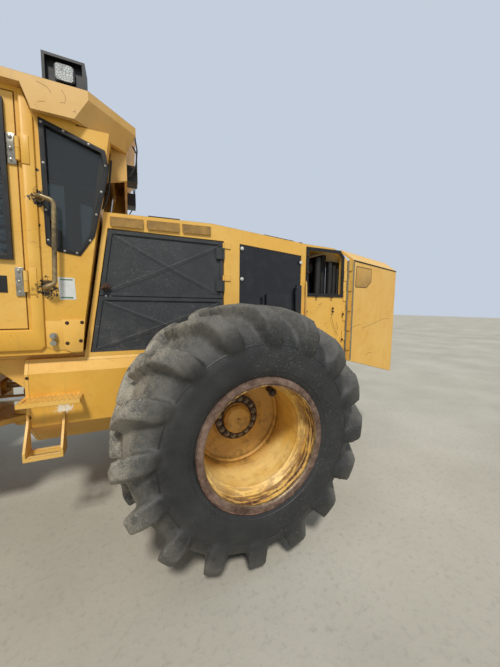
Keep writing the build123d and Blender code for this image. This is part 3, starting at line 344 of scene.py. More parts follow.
# %% One material's work bench
class Finish:
    """A material in the making: nodes, masks and the shader's own sockets."""

    def __init__(self, name):
        self.material = bpy.data.materials.new(name)
        self.material.use_nodes = True
        self.tree = self.material.node_tree
        self.shader = self.tree.nodes["Principled BSDF"]
        self.place = self.node("ShaderNodeTexCoord", output="Object")

    def node(self, kind, settings=None, inputs=None, output=0):
        """Any node: its settings first, then the values or links of its sockets."""
        step = self.tree.nodes.new(kind)
        for key, value in (settings or {}).items():
            if key == "stops":
                while len(step.color_ramp.elements) < len(value):
                    step.color_ramp.elements.new(0.5)
                for element, (position, colour) in zip(step.color_ramp.elements, value):
                    element.position = position
                    element.color = (*colour, 1.0)
            else:
                setattr(step, key, value)
        for key, value in (inputs or {}).items():
            plug(self.tree, step.inputs[key], value)
        return Wire(self.tree, step.outputs[output])

    def stretched(self, scale=(1, 1, 1), centre=(0, 0, 0), turn=(0, 0, 0)):
        """Object coordinates, moved to a centre and then stretched."""
        moved = self.node("ShaderNodeVectorMath", {"operation": "SUBTRACT"}, {0: self.place, 1: centre})
        return self.node("ShaderNodeMapping", None, {"Vector": moved, "Scale": scale, "Rotation": turn})

    def noise(self, scale, detail=4.0, rough=0.6, where=None):
        return self.node("ShaderNodeTexNoise", None,
                         {"Vector": where or self.place, "Scale": scale, "Detail": detail, "Roughness": rough})

    def cells(self, scale, where=None):
        return self.node("ShaderNodeTexVoronoi", {"feature": "F1"}, {"Vector": where or self.place, "Scale": scale})

    def levels(self, value, low, high, to_low=0.0, to_high=1.0):
        """Stretch a range of values to another, cut off at both ends."""
        return self.node("ShaderNodeMapRange", {"clamp": True},
                         {"Value": value, "From Min": low, "From Max": high, "To Min": to_low, "To Max": to_high})

    def blend(self, below, above, factor):
        """One colour laid over another where the factor is 1."""
        step = self.tree.nodes.new("ShaderNodeMix")
        step.data_type = "RGBA"
        for slot, value in ((0, factor), (6, below), (7, above)):
            if isinstance(value, tuple):
                value = (*value, 1.0)
            plug(self.tree, step.inputs[slot], value)
        return Wire(self.tree, step.outputs[2])

    def part(self, vector, axis):
        """One of the three parts of a vector."""
        return self.node("ShaderNodeSeparateXYZ", None, {"Vector": vector}, output=axis)

    def facing(self, axis):
        """How much the surface faces along an axis, from -1 to 1."""
        normal = self.node("ShaderNodeNewGeometry", output="Normal")
        return self.part(normal, axis)

    def near(self, centre, inside, outside):
        """1 within a distance of a point, falling to 0 further out."""
        away = self.node("ShaderNodeVectorMath", {"operation": "DISTANCE"}, {0: self.place, 1: tuple(centre)},
                         output="Value")
        return self.levels(away, outside, inside)

    def edges(self, radius=0.006):
        """Bright where the surface bends sharply, found by comparing it with a softened copy of itself."""
        soft = self.node("ShaderNodeBevel", {"samples": 4}, {"Radius": radius})
        hard = self.node("ShaderNodeNewGeometry", output="Normal")
        same = self.node("ShaderNodeVectorMath", {"operation": "DOT_PRODUCT"}, {0: soft, 1: hard}, output="Value")
        return self.levels(1.0 - same, 0.02, 0.22)

    def set(self, **sockets):
        """Plain values or wires for the shader's own sockets, with _ for a blank."""
        for key, value in sockets.items():
            if isinstance(value, tuple) and len(value) == 3:
                value = (*value, 1.0)
            plug(self.tree, self.shader.inputs[key.replace("_", " ")], value)
        return self

    def bump(self, height, strength=0.3, distance=0.004):
        step = self.node("ShaderNodeBump", None, {"Height": height, "Strength": strength, "Distance": distance})
        plug(self.tree, self.shader.inputs["Normal"], step)
        return self


def paint(red, green, blue):
    """A colour as it looks on a screen, from 0 to 255, in the linear numbers that shaders use."""
    return tuple((c / 255 / 12.92) if c / 255 < 0.04045 else ((c / 255 + 0.055) / 1.055) ** 2.4 for c in (red, green, blue))


# %% [markdown]
# ## Worn ochre paint
# Nearly every plate is the same enamel. It has faded unevenly, carries dust on top and mud below, and has lost
# chips along its edges, where brown primer and rust show. All of that is built from noise on the object's own
# coordinates, so it stays put when a part moves.

# %% The paint
ochre = paint(229, 173, 62)
ochre_faded = paint(238, 192, 94)
ochre_deep = paint(206, 148, 46)
rust_brown = paint(92, 56, 34)
primer_black = paint(38, 32, 28)
soil = paint(150, 128, 98)


def worn_paint(name, base=ochre, faded=ochre_faded, deep=ochre_deep, chipping=1.0, mud_top=0.98, bald=()):
    """Enamel with fading, dust, streaks, scratches and chips. bald lists places that are worn through: centre,
    radius and the colour that shows."""
    f = Finish(name)
    clouds = f.noise(1.7, 3.0)
    mottle = f.noise(9.0, 6.0, 0.7)
    colour = f.blend(base, faded, f.levels(clouds, 0.45, 0.75) * 0.7)
    colour = f.blend(colour, deep, f.levels(mottle, 0.50, 0.72) * 0.45)
    streaks = f.noise(1.0, 5.0, 0.65, f.stretched((26, 26, 1.4)))
    colour = f.blend(colour, soil, f.levels(streaks, 0.60, 0.80) * 0.35)
    height = f.part(f.place, 2)
    spatter = f.noise(7.0, 8.0, 0.75)
    mud = f.levels(height + (spatter - 0.5) * 0.9, mud_top, mud_top - 0.55)
    colour = f.blend(colour, soil, mud * f.levels(spatter, 0.35, 0.62) * 0.6)
    dust = f.levels(f.facing(2), 0.4, 1.0) * f.levels(mottle, 0.30, 0.62)
    colour = f.blend(colour, paint(214, 196, 150), dust * 0.45)
    scratch = f.noise(2.6, 2.0, 0.5, f.stretched((1.0, 1.0, 13.0), turn=(0.5, 0.35, 0.2)))
    fine = f.levels(scratch, 0.497, 0.500) * f.levels(scratch, 0.504, 0.501) * f.levels(f.noise(3.2), 0.55, 0.62)
    specks = f.levels(f.cells(38.0), 0.085, 0.06) * f.levels(f.noise(2.4, 3.0), 0.50, 0.60)
    worn_edge = f.levels(f.edges() * f.noise(42.0, 4.0, 0.8), 0.34, 0.44)
    flakes = f.levels(f.noise(5.5, 9.0, 0.82), 0.665, 0.685)
    bare = (worn_edge.highest(specks).highest(flakes) * chipping).clipped()
    metal = f.blend(rust_brown, primer_black, f.levels(f.noise(30.0), 0.42, 0.60))
    colour = f.blend(colour, metal, fine * 0.6)
    colour = f.blend(colour, metal, bare)
    for centre, radius, shows in bald:
        patch = f.near(centre, radius * 0.4, radius * 1.3)
        broken = f.noise(34.0, 6.0, 0.8)
        colour = f.blend(colour, shows, f.levels(patch * 0.66 + (broken - 0.5) * 2.2, 0.46, 0.56) * f.levels(patch, 0.0, 0.1))
    rough = f.levels(mottle, 0.3, 0.7, 0.36, 0.52) + bare * 0.3 + mud * 0.25
    relief = f.noise(55.0, 3.0) * 0.25 - bare * 1.0
    f.set(Base_Color=colour, Roughness=rough.clipped(), IOR=1.5)
    f.bump(relief, 0.22, 0.0012)
    return f.material


yellow = worn_paint("worn ochre paint", paint(236, 184, 84), paint(242, 200, 112), paint(214, 160, 62))
fascia = worn_paint("faded roof paint", paint(222, 176, 96), paint(228, 188, 120), paint(206, 158, 76), 0.8)
cab_paint = worn_paint("cab paint", bald=(
    (spot(1.253, 0.72, 2.429), 0.082, primer_black), (spot(1.238, 0.72, 1.857), 0.090, primer_black),
    (spot(1.258, 0.72, 2.60), 0.016, primer_black), (spot(1.262, 0.72, 2.26), 0.014, primer_black),
))
frame_paint = worn_paint("frame paint", bald=(
    (spot(1.185, 0.70, 1.035), 0.066, paint(236, 230, 208)), (spot(0.80, 0.69, 0.90), 0.10, soil),
))
print("paint made")

# %% [markdown]
# ## Rims
# The wheels have the same paint, but the tyre and the stones have ground it away at the flange and the bead seat,
# so rust follows the distance from the axle and from the outer face. Each wheel needs its own centre.

# %% Rim paint, one for each wheel
def rim_finish(name, centre, outward):
    """Paint that turns to rust towards the flange of a rim with this centre, and darkens towards the disc as painted
    shade.
    """
    f = Finish(name)
    local = f.node("ShaderNodeVectorMath", {"operation": "SUBTRACT"}, {0: f.place, 1: tuple(centre)})
    flat = f.node("ShaderNodeVectorMath", {"operation": "MULTIPLY"}, {0: local, 1: (1, 0, 1)})
    radius = f.node("ShaderNodeVectorMath", {"operation": "LENGTH"}, {0: flat}, output="Value")
    depth = f.part(local, 1) * outward
    ripple = f.noise(14.0, 7.0, 0.75)
    hoops = f.noise(1.0, 6.0, 0.7, f.node("ShaderNodeVectorMath", {"operation": "MULTIPLY"}, {0: local, 1: (5, 55, 5)}))
    colour = f.blend(paint(230, 184, 88), paint(246, 214, 138), f.levels(f.noise(3.0), 0.38, 0.60) * 0.9)
    colour = f.blend(colour, paint(172, 124, 50), f.levels(ripple, 0.50, 0.70) * 0.45)
    # Deeper in the dish, towards the disc, the paint is darkened in two steps, the second blotched by noise: painted
    # shade of the recess.
    deep = f.levels(depth + (ripple - 0.5) * 0.05, 0.02, -0.11)
    colour = f.blend(colour, paint(190, 142, 62), deep * 0.75)
    colour = f.blend(colour, paint(120, 88, 48), deep * f.levels(f.noise(7.0, 8.0, 0.75), 0.50, 0.64) * 0.7)
    colour = f.blend(colour, soil, f.levels(hoops, 0.55, 0.72) * 0.3)
    outer = f.levels(depth, 0.16, 0.30)
    seat = outer * f.levels(hoops * 0.75 + ripple * 0.4, 0.545, 0.580)
    seat = seat.highest(f.levels(depth + (ripple - 0.5) * 0.05, 0.315, 0.335) * f.levels(hoops, 0.40, 0.50))
    flange = f.levels(radius + (ripple - 0.5) * 0.004, 0.398, 0.402) * f.levels(depth, 0.20, 0.30)
    rust = flange.highest(seat).clipped()
    rusty = f.blend(paint(74, 48, 38), paint(138, 104, 84), f.levels(f.noise(26.0, 6.0, 0.7), 0.4, 0.65))
    colour = f.blend(colour, paint(186, 132, 66), outer * f.levels(hoops, 0.42, 0.58) * 0.7)
    colour = f.blend(colour, rusty, rust)
    scuffs = f.levels(f.noise(5.0, 9.0, 0.8), 0.655, 0.68)
    colour = f.blend(colour, paint(52, 40, 32), scuffs * (1 - rust) * 0.9)
    f.set(Base_Color=colour, Roughness=(0.5 + rust * 0.25).clipped())
    f.bump(ripple * 0.4 + rust * 0.3, 0.3, 0.002)
    return f.material


# %% [markdown]
# ## Rubber
# Old rubber is a dark warm grey, never black. Pale soil sticks to the tread bars and fades down the sidewall. The
# tyre mesh carries a value called dust at each point, so the soil follows the bars wherever the wheel turns.

# %% Rubber with soil on its tread
def rubber_finish():
    f = Finish("worn tread rubber")
    dust = f.node("ShaderNodeAttribute", {"attribute_name": "dust"}, output="Fac")
    grain = f.noise(30.0, 8.0, 0.75)
    patches = f.noise(4.0, 6.0, 0.7)
    colour = f.blend(paint(33, 34, 35), paint(52, 53, 52), f.levels(patches, 0.35, 0.7))
    colour = f.blend(colour, paint(74, 76, 75), f.levels(dust, 0.25, 0.55) * 0.8)
    specks = f.levels(f.noise(120.0, 3.0, 0.7), 0.60, 0.70) * f.levels(f.noise(2.2, 4.0), 0.42, 0.62)
    colour = f.blend(colour, paint(150, 148, 138), specks * 0.55)
    dusty = dust * f.levels(grain * 0.6 + patches * 0.5, 0.42, 0.62)
    colour = f.blend(colour, paint(124, 119, 107), dusty.clipped() * 0.8)
    caked = f.levels(dust, 0.85, 1.25) * f.levels(patches * 0.7 + grain * 0.3, 0.42, 0.54)
    colour = f.blend(colour, paint(170, 164, 148), caked * 0.8)
    crumbs = f.noise(150.0, 4.0, 0.75)
    colour = f.blend(colour, paint(188, 180, 164), f.levels(crumbs, 0.57, 0.66) * f.levels(dust, 0.5, 1.0) * 0.75)
    colour = f.blend(colour, paint(34, 34, 33), f.levels(crumbs, 0.45, 0.38) * f.levels(dust, 0.5, 1.0) * 0.7)
    nicks = f.levels(f.noise(9.0, 9.0, 0.85), 0.66, 0.69)
    colour = f.blend(colour, paint(104, 100, 94), nicks * 0.5)
    f.set(Base_Color=colour, Roughness=f.levels(dusty, 0.0, 1.0, 0.55, 0.92))
    f.bump(grain * 0.6 + patches * 0.6 - nicks * 0.4, 0.45, 0.006)
    return f.material


rubber = rubber_finish()

# %% [markdown]
# ## Metals, glass and plastics
# The smaller finishes share the same tools: one or two noises for colour and roughness, and a little bump.

# %% Simple mottled finishes
def mottled(name, light, dark, rough=(0.4, 0.6), metal=0.0, scale=14.0, relief=0.2):
    """A plain material with uneven colour and gloss."""
    f = Finish(name)
    grain = f.noise(scale, 6.0, 0.7)
    broad = f.noise(scale / 6, 3.0)
    colour = f.blend(dark, light, f.levels(grain * 0.6 + broad * 0.4, 0.38, 0.62))
    f.set(Base_Color=colour, Roughness=f.levels(broad, 0.35, 0.65, *rough), Metallic=metal)
    f.bump(grain, relief, 0.002)
    return f.material


chrome = mottled("polished rod", paint(214, 214, 212), paint(176, 174, 170), (0.08, 0.2), 1.0, 30.0, 0.03)
cast_grey = mottled("oily casting", paint(86, 82, 76), paint(46, 44, 42), (0.45, 0.75), 0.3, 12.0, 0.5)
core_grey = mottled("cooler core", paint(70, 70, 70), paint(40, 40, 41), (0.6, 0.8), 0.4, 60.0, 0.6)
black_part = mottled("black moulding", paint(40, 40, 42), paint(24, 24, 26), (0.45, 0.65), 0.0, 24.0, 0.2)
lamp_black = mottled("lamp housing", paint(20, 20, 23), paint(10, 10, 12), (0.35, 0.55), 0.0, 24.0, 0.15)
# Steel worn bare. On the rim's inner lip the same bright steel is also a painted highlight.
worn_steel_and_highlight = mottled("hand worn steel", paint(178, 156, 112), paint(96, 84, 66), (0.28, 0.5), 0.6, 34.0, 0.2)
# Dark rubber for seals. The same dark finish also serves as painted shade, on the thin plates that stand for a hole, a
# slot and a recess and on the sheets in the bay.
seal_rubber_and_shade = mottled("rubber seal", paint(34, 35, 36), paint(20, 20, 21), (0.55, 0.8), 0.0, 50.0, 0.3)
brown_scratch = mottled("scratch down to rust", paint(96, 66, 40), paint(58, 42, 30), (0.6, 0.8), 0.0, 60.0, 0.1)
pale_scratch = mottled("rubbed crease", paint(122, 122, 120), paint(62, 64, 66), (0.5, 0.7), 0.0, 12.0, 0.1)
cab_trim = mottled("cab trim", paint(58, 58, 60), paint(40, 40, 42), (0.55, 0.75), 0.0, 90.0, 0.25)
rubber_hose = mottled("hose rubber", paint(44, 43, 42), paint(28, 28, 28), (0.5, 0.75), 0.0, 20.0, 0.2)
saw_steel = mottled("saw steel", paint(150, 140, 128), paint(96, 84, 74), (0.28, 0.5), 0.9, 16.0, 0.25)
dark_rust = mottled("dark rust", paint(96, 66, 48), paint(52, 38, 30), (0.7, 0.9), 0.2, 40.0, 0.6)
zinc = mottled("zinc plate", paint(196, 192, 180), paint(150, 144, 128), (0.25, 0.45), 0.8, 30.0, 0.15)
tail_red = mottled("tail lamp red", paint(140, 34, 28), paint(98, 24, 22), (0.25, 0.5), 0.0, 20.0, 0.1)
off_white = mottled("blank white label", paint(226, 228, 222), paint(204, 206, 198), (0.5, 0.6), 0.0, 12.0, 0.05)
label_tint = mottled("label green", paint(92, 132, 96), paint(70, 108, 78), (0.5, 0.6), 0.0, 12.0, 0.05)
flange_steel = mottled("rusty flange steel", paint(150, 126, 110), paint(84, 60, 50), (0.35, 0.6), 0.35, 26.0, 0.3)
nut_grey = mottled("wheel nut steel", paint(150, 140, 124), paint(98, 84, 68), (0.4, 0.6), 0.5, 40.0, 0.3)
bare_grey = mottled("weathered grey steel", paint(148, 144, 132), paint(104, 98, 86), (0.45, 0.65), 0.4, 44.0, 0.3)
plate_ochre = mottled("faded blank plate", paint(206, 162, 84), paint(188, 144, 70), (0.45, 0.6), 0.0, 9.0, 0.1)

# %% Glass, cloth and the dark side panels
def glass_finish():
    f = Finish("tinted glass")
    smear = f.noise(5.0, 5.0, 0.7)
    f.set(Base_Color=(0.22, 0.25, 0.25), Roughness=f.levels(smear, 0.45, 0.8, 0.02, 0.14), IOR=1.5,
          Transmission_Weight=0.9)
    return f.material


def screen_finish():
    """Black sheet punched with small holes, painted as darker dots for the shade behind them; dusty and scratched."""
    f = Finish("punched screen")
    pitch = 0.0075
    across = f.node("ShaderNodeMath", {"operation": "SINE"}, {0: f.part(f.place, 0) * (math.tau / pitch)})
    upward = f.node("ShaderNodeMath", {"operation": "SINE"}, {0: f.part(f.place, 2) * (math.tau / pitch)})
    hole = f.levels(across * upward, 0.15, 0.55)
    dust = f.noise(3.0, 7.0, 0.75)
    colour = f.blend(paint(54, 57, 60), paint(80, 83, 85), f.levels(dust, 0.45, 0.75) * 0.7)
    # Each hole is a darker dot: painted shade of the dark bay behind the sheet.
    colour = f.blend(colour, paint(20, 20, 21), hole * 0.75)
    low = f.levels(f.part(f.place, 2), 1.72, 1.40)
    colour = f.blend(colour, paint(112, 104, 90), low * f.levels(f.noise(6.0, 8.0, 0.75), 0.52, 0.66) * 0.6)
    scratch = f.noise(2.4, 2.0, 0.5, f.stretched((1.0, 1.0, 9.0), turn=(0.0, 0.5, 0.0)))
    motes = f.levels(f.noise(90.0, 4.0, 0.75), 0.56, 0.66) * f.levels(f.noise(2.2, 4.0), 0.42, 0.60)
    colour = f.blend(colour, paint(126, 122, 114), motes * 0.45)
    line = f.levels(scratch, 0.498, 0.500) * f.levels(scratch, 0.503, 0.501)
    colour = f.blend(colour, paint(150, 148, 142), line * f.levels(dust, 0.5, 0.6) * 0.5)
    f.set(Base_Color=colour, Roughness=0.62)
    f.bump(1.0 - hole, 0.5, 0.0015)
    return f.material


def cover_finish():
    """Smooth dark side panel, glossy but rubbed."""
    f = Finish("smooth dark cover")
    rub = f.noise(6.0, 8.0, 0.75)
    colour = f.blend(paint(27, 29, 33), paint(46, 48, 52), f.levels(rub, 0.5, 0.75) * 0.8)
    f.set(Base_Color=colour, Roughness=f.levels(rub, 0.35, 0.7, 0.14, 0.36), Coat_Weight=0.2)
    f.bump(rub, 0.05, 0.002)
    return f.material


def cloth_finish():
    f = Finish("woven seat cloth")
    warp = f.node("ShaderNodeTexWave", {"wave_type": "BANDS", "bands_direction": "Y"}, {"Scale": 160.0, "Vector": f.place})
    weft = f.node("ShaderNodeTexWave", {"wave_type": "BANDS", "bands_direction": "X"}, {"Scale": 160.0, "Vector": f.place})
    weave = warp * weft
    colour = f.blend(paint(38, 38, 40), paint(74, 73, 72), weave * 0.6 + f.noise(8.0) * 0.3)
    f.set(Base_Color=colour, Roughness=0.9, Sheen_Weight=0.25)
    f.bump(weave, 0.4, 0.001)
    return f.material


def mesh_finish():
    """Tan expanded metal: a slanted grid of small openings with darkness behind."""
    f = Finish("tan vent mesh")
    pitch = 0.011
    along = f.part(f.place, 0)
    upward = f.part(f.place, 2) * 1.8
    first = f.node("ShaderNodeMath", {"operation": "SINE"}, {0: (along + upward) * (math.tau / pitch)})
    second = f.node("ShaderNodeMath", {"operation": "SINE"}, {0: (along - upward) * (math.tau / pitch)})
    opening = f.levels(first * second, 0.05, 0.45)
    grime = f.noise(8.0, 6.0, 0.7)
    colour = f.blend(paint(196, 152, 76), paint(150, 116, 62), f.levels(grime, 0.40, 0.65))
    colour = f.blend(colour, paint(66, 52, 34), opening * 0.7)
    f.set(Base_Color=colour, Roughness=0.7)
    f.bump(1.0 - opening, 0.5, 0.002)
    return f.material


def lens_finish():
    """Clear moulded lamp glass over a bright bowl."""
    f = Finish("lamp lens")
    ribs = f.node("ShaderNodeTexVoronoi", {"feature": "DISTANCE_TO_EDGE"}, {"Vector": f.place, "Scale": 70.0})
    colour = f.blend(paint(150, 154, 150), paint(226, 230, 224), f.levels(ribs, 0.02, 0.22))
    f.set(Base_Color=colour, Roughness=0.12, Coat_Weight=0.6, Metallic=0.25)
    f.bump(ribs, 0.4, 0.002)
    return f.material


glass = glass_finish()
vent_mesh = mesh_finish()
lamp_lens = lens_finish()
screen_black = screen_finish()
cover_black = cover_finish()
seat_cloth = cloth_finish()

# %% [markdown]
# ## The photograph's viewpoint
# The camera stood beside the machine, a little ahead of the rear wheel and almost as high as its top, with a very
# wide lens. Its place and turn were worked out from the rim's ellipse and the body's straight edges.

# %% Camera
photo_height_px = 667
focal_px = 272.0
sensor = 36.0
camera_from_axle = (0.752, 2.9225, 1.746)
camera_data = bpy.data.cameras.new("photo_camera")
camera = bpy.data.objects.new("photo_camera", camera_data)
bpy.context.scene.collection.objects.link(camera)
camera_data.sensor_width = sensor
camera_data.lens = sensor * focal_px / photo_height_px
forward = Vector((-0.4049, -0.9095, -0.0941)).normalized()
rightward = Vector((-0.9139, 0.4058, 0.0108)).normalized()
upward = rightward.cross(forward)
turn = Matrix((rightward, upward, -forward)).transposed().to_4x4()
camera.matrix_world = Matrix.Translation(spot(*camera_from_axle)) @ turn
camera_data.clip_end = 300.0
bpy.context.scene.camera = camera
print("camera at", tuple(round(v, 3) for v in camera.location))

# %% [markdown]
# ## Yard, sky and light
# The yard is a plain pale floor. Daylight comes from a wide, soft sky and a hazy sun ahead and to the left, which
# gives the flank its even light and the tyre its soft shadow.

# %% Floor
bpy.ops.object.select_all(action="DESELECT")
bpy.ops.mesh.primitive_plane_add(size=160)
floor = named(bpy.context.active_object, "yard_floor")
ground = Finish("pale yard")
ground_grain = ground.noise(24.0, 8.0, 0.7)
ground_patch = ground.noise(0.5, 4.0, 0.6)
ground_colour = ground.blend(paint(168, 164, 150), paint(186, 182, 168), ground.levels(ground_patch, 0.35, 0.65))
ground_colour = ground.blend(ground_colour, paint(140, 136, 124), ground.levels(ground_grain, 0.52, 0.72) * 0.5)
ground.set(Base_Color=ground_colour, Roughness=0.95)
ground.bump(ground_grain, 0.3, 0.01)
floor.data.materials.append(ground.material)

# %% Sky and sun
scene = bpy.context.scene
scene.view_settings.view_transform = "Standard"
world = bpy.data.worlds.new("hazy sky")
scene.world = world
world.use_nodes = True
sky = world.node_tree
background = sky.nodes["Background"]
seen = sky.nodes.new("ShaderNodeBackground")
seen.inputs["Color"].default_value = (*paint(196, 206, 220), 1.0)
seen.inputs["Strength"].default_value = 1.0
background.inputs["Color"].default_value = (*paint(226, 234, 246), 1.0)
background.inputs["Strength"].default_value = 0.62
rays = sky.nodes.new("ShaderNodeLightPath")
direct = sky.nodes.new("ShaderNodeMath")
direct.operation = "MAXIMUM"
sky.links.new(rays.outputs["Is Camera Ray"], direct.inputs[0])
sky.links.new(rays.outputs["Is Transmission Ray"], direct.inputs[1])
choose = sky.nodes.new("ShaderNodeMixShader")
sky.links.new(direct.outputs[0], choose.inputs[0])
sky.links.new(background.outputs[0], choose.inputs[1])
sky.links.new(seen.outputs[0], choose.inputs[2])
sky.links.new(choose.outputs[0], sky.nodes["World Output"].inputs["Surface"])

sun_data = bpy.data.lights.new("hazy_sun", "SUN")
sun_data.energy = 2.5
sun_data.angle = math.radians(9)
sun_data.color = (1.0, 0.96, 0.90)
sun = bpy.data.objects.new("hazy_sun", sun_data)
scene.collection.objects.link(sun)
sun_from = Vector((0.30, 0.85, 1.15))
sun.rotation_mode = "QUATERNION"
sun.rotation_quaternion = sun_from.to_track_quat("Z", "Y")

# %% [markdown]
# ## Finishes for the construction pieces
# The solids that already have their true shape stay in the picture. They only need the right finish, chosen here
# by the kind of piece.

# %% Dress the loaded pieces
finish_by_start = (
    ("upper_screen", screen_black), ("lower_screens", screen_black), ("engine_covers", cover_black),
    ("cab_windows", glass), ("cab_door_window", glass), ("engine_block", cast_grey), ("cooler", core_grey),
    ("cab_seat_frame", cab_trim), ("roof_lamps", lamp_black), ("saw_disc", saw_steel), ("grab_handle", worn_steel_and_highlight),
    ("steer_rod", chrome), ("lift_rod", chrome), ("tilt_rod", chrome), ("lamp_lenses", lamp_lens),
    ("cab_roof", fascia), ("cab_side_left", cab_paint), ("rear_frame", frame_paint), ("door_guard", black_part),
    ("panel_window_frames", seal_rubber_and_shade), ("cab_cushions", seat_cloth), ("axle_tunnel", frame_paint),
)
rim_materials = {}
for where in ("front", "rear"):
    for side, outward in (("left", 1), ("right", -1)):
        node = f"rim_{where}_{side}"
        rim_materials[node] = rim_finish(f"rim paint {where} {side}", middle(node), outward)

for name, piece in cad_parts.items():
    chosen = next((m for start, m in finish_by_start if name.startswith(start)), yellow)
    chosen = rim_materials.get(name, chosen)
    piece.data.materials.clear()
    piece.data.materials.append(chosen)
print("dressed", len(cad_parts), "construction pieces")

# %% [markdown]
# ## Tyres
# A forestry tyre is a wide casing with heavy slanted bars. The bars start at the middle of the tread, lean back
# towards the shoulder and run far down the sidewall, where they end in a blunt nose. The casing is turned from a
# profile, one bar is extruded through a few sections, and all are fused and rounded by a voxel remesh, the way
# decades of stones have rounded the real ones.

# %% Sizes of the tyre
bars_a_side = 16
casing_profile = (
    (0.4075, 0.330), (0.440, 0.346), (0.480, 0.364), (0.505, 0.371), (0.512, 0.3745), (0.519, 0.3745), (0.545, 0.374),
    (0.600, 0.371), (0.650, 0.358), (0.700, 0.334), (0.745, 0.298), (0.785, 0.238), (0.808, 0.150), (0.815, 0.0),
)
# Columns: tip (across, radius), foot (across, radius), turn in degrees, half width of the tip, and the foot's reach
# on the leading and the trailing side. The first turn is where the bar starts, at the middle of the tread.
worn_back = 0.009
bar_sections = (
    (-0.028, 0.8785, -0.028, 0.780, 0.0, 0.037, 0.054, 0.048),
    (0.060, 0.880, 0.060, 0.780, 2.85, 0.040, 0.060, 0.050),
    (0.180, 0.878, 0.170, 0.772, 8.0, 0.044, 0.072, 0.052),
    (0.310, 0.854, 0.250, 0.742, 14.5, 0.053, 0.096, 0.060),
    (0.374, 0.780, 0.305, 0.680, 17.5, 0.059, 0.108, 0.064),
    (0.3865, 0.704, 0.330, 0.640, 18.5, 0.057, 0.098, 0.062),
    (0.3800, 0.628, 0.345, 0.600, 19.2, 0.036, 0.062, 0.044),
)
tread_turn = 8.4
voxel = 0.0128


# %% One tread bar, extruded section by section
def bar_corners(centre, side, start, section):
    """Four corners of one section of a tread bar, on the side and at the angle given."""
    tip_out, tip, foot_out, foot, lean, half, lead, trail = section
    angle = math.radians(start + lean)
    radial, around = Vector((math.cos(angle), 0, math.sin(angle))), Vector((-math.sin(angle), 0, math.cos(angle)))
    corners = []
    for out, radius, edge in ((foot_out, foot, -lead), (foot_out, foot, trail), (tip_out, tip + worn_back, half),
                              (tip_out, tip + worn_back, -half)):
        corners.append(centre + radial * radius + around * edge + Vector((0, side * out, 0)))
    return corners


def tread_bar(centre, side, start):
    bpy.ops.object.select_all(action="DESELECT")
    bpy.ops.mesh.primitive_plane_add(size=0.1)
    piece = bpy.context.active_object
    order = (0, 1, 3, 2)
    for index, place in zip(order, bar_corners(centre, side, start, bar_sections[0])):
        piece.data.vertices[index].co = place
    for section in bar_sections[1:]:
        edit(piece, "DESELECT")
        leave()
        for point in piece.data.vertices:
            point.select = point.index >= len(piece.data.vertices) - 4
        only(piece)
        bpy.ops.object.mode_set(mode="EDIT")
        bpy.ops.mesh.select_mode(type="VERT")
        bpy.ops.mesh.extrude_region_move(TRANSFORM_OT_translate={"value": (0, 0, 0)})
        leave()
        fresh = [p for p in piece.data.vertices if p.select]
        for point, place in zip(fresh, [bar_corners(centre, side, start, section)[i] for i in (0, 1, 3, 2)]):
            point.co = place
    return tidy(piece)


# %% Fuse the bars to the casing
def tyre_mesh(name, centre):
    """A whole left-hand tyre with its outer face towards +Y."""
    profile = list(casing_profile) + [(r, -w) for r, w in reversed(casing_profile[:-1])]
    casing = turned(name, profile, centre, 96)
    pitch = 360.0 / bars_a_side
    start = tread_turn - 90.0
    first = {1: tread_bar(centre, 1, start), -1: tread_bar(centre, -1, start + pitch / 2)}
    pieces = [casing]
    for side, piece in first.items():
        for i in range(bars_a_side):
            swing = Matrix.Translation(centre) @ Matrix.Rotation(-math.radians(pitch * i), 4, "Y") @ Matrix.Translation(-centre)
            pieces.append(copied(piece, "tread_bar", swing))
        bpy.data.objects.remove(piece)
    whole = joined(pieces, name)
    modifier(whole, "REMESH", mode="VOXEL", voxel_size=voxel)
    modifier(whole, "SMOOTH", factor=0.55, iterations=4)
    return whole


def mark_dust(piece, centre):
    """Store how much soil each point of the tyre holds: most on the bars that face ahead, least on the sidewall."""
    values = piece.data.attributes.new("dust", "FLOAT", "POINT")
    for point, value in zip(piece.data.vertices, values.data):
        local = point.co - centre
        radius = math.hypot(local.x, local.z)
        crown = min(1.0, max(0.0, (radius - 0.66) / 0.21))
        inner = min(1.0, max(0.0, 1.4 - abs(local.y) / 0.36))
        ahead = max(0.0, local.x / max(radius, 0.01))
        value.value = crown * (0.40 + 0.45 * inner) + ahead ** 1.5 * 0.65 * min(1.0, max(0.0, (radius - 0.58) / 0.20))


rear_left_centre = Vector((axle_x, track_half, axle_z))
tyre_rear_left = tyre_mesh("tread_rear_left", rear_left_centre)
mark_dust(tyre_rear_left, rear_left_centre)
print("one tyre has", len(tyre_rear_left.data.polygons), "faces")

# %% The other three tyres
tyre_front_left = copied(tyre_rear_left, "tread_front_left", Matrix.Translation((wheelbase, 0, 0)))
tyres = {
    "rear_left": tyre_rear_left,
    "front_left": tyre_front_left,
    "rear_right": other_side(tyre_rear_left, "tread_rear_right"),
    "front_right": other_side(tyre_front_left, "tread_front_right"),
}
for place, piece in tyres.items():
    dressed(piece, f"wheel_{place}", rubber, 60)
    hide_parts(f"tyre_{place}")

# %% [markdown]
# ## Wheel fastenings
# Behind the dished opening sits a ring of wheel nuts on a rusty plate, with the painted hub cap in its middle. A
# bead of weld joins the disc to the barrel, and the inflation valve pokes in from the top. These small rings are
# turned about the axle, and one nut is modelled and copied around the ring.

# %% Stud ring, nuts, weld and valve of the rear left wheel
nut_count = 16
nut_circle = 0.146
ring_face = -0.1305


def around(centre, radius, degrees, out):
    """A point at a radius and angle about the axle, at a distance out."""
    angle = math.radians(degrees)
    return centre + Vector((radius * math.cos(angle), out, radius * math.sin(angle)))


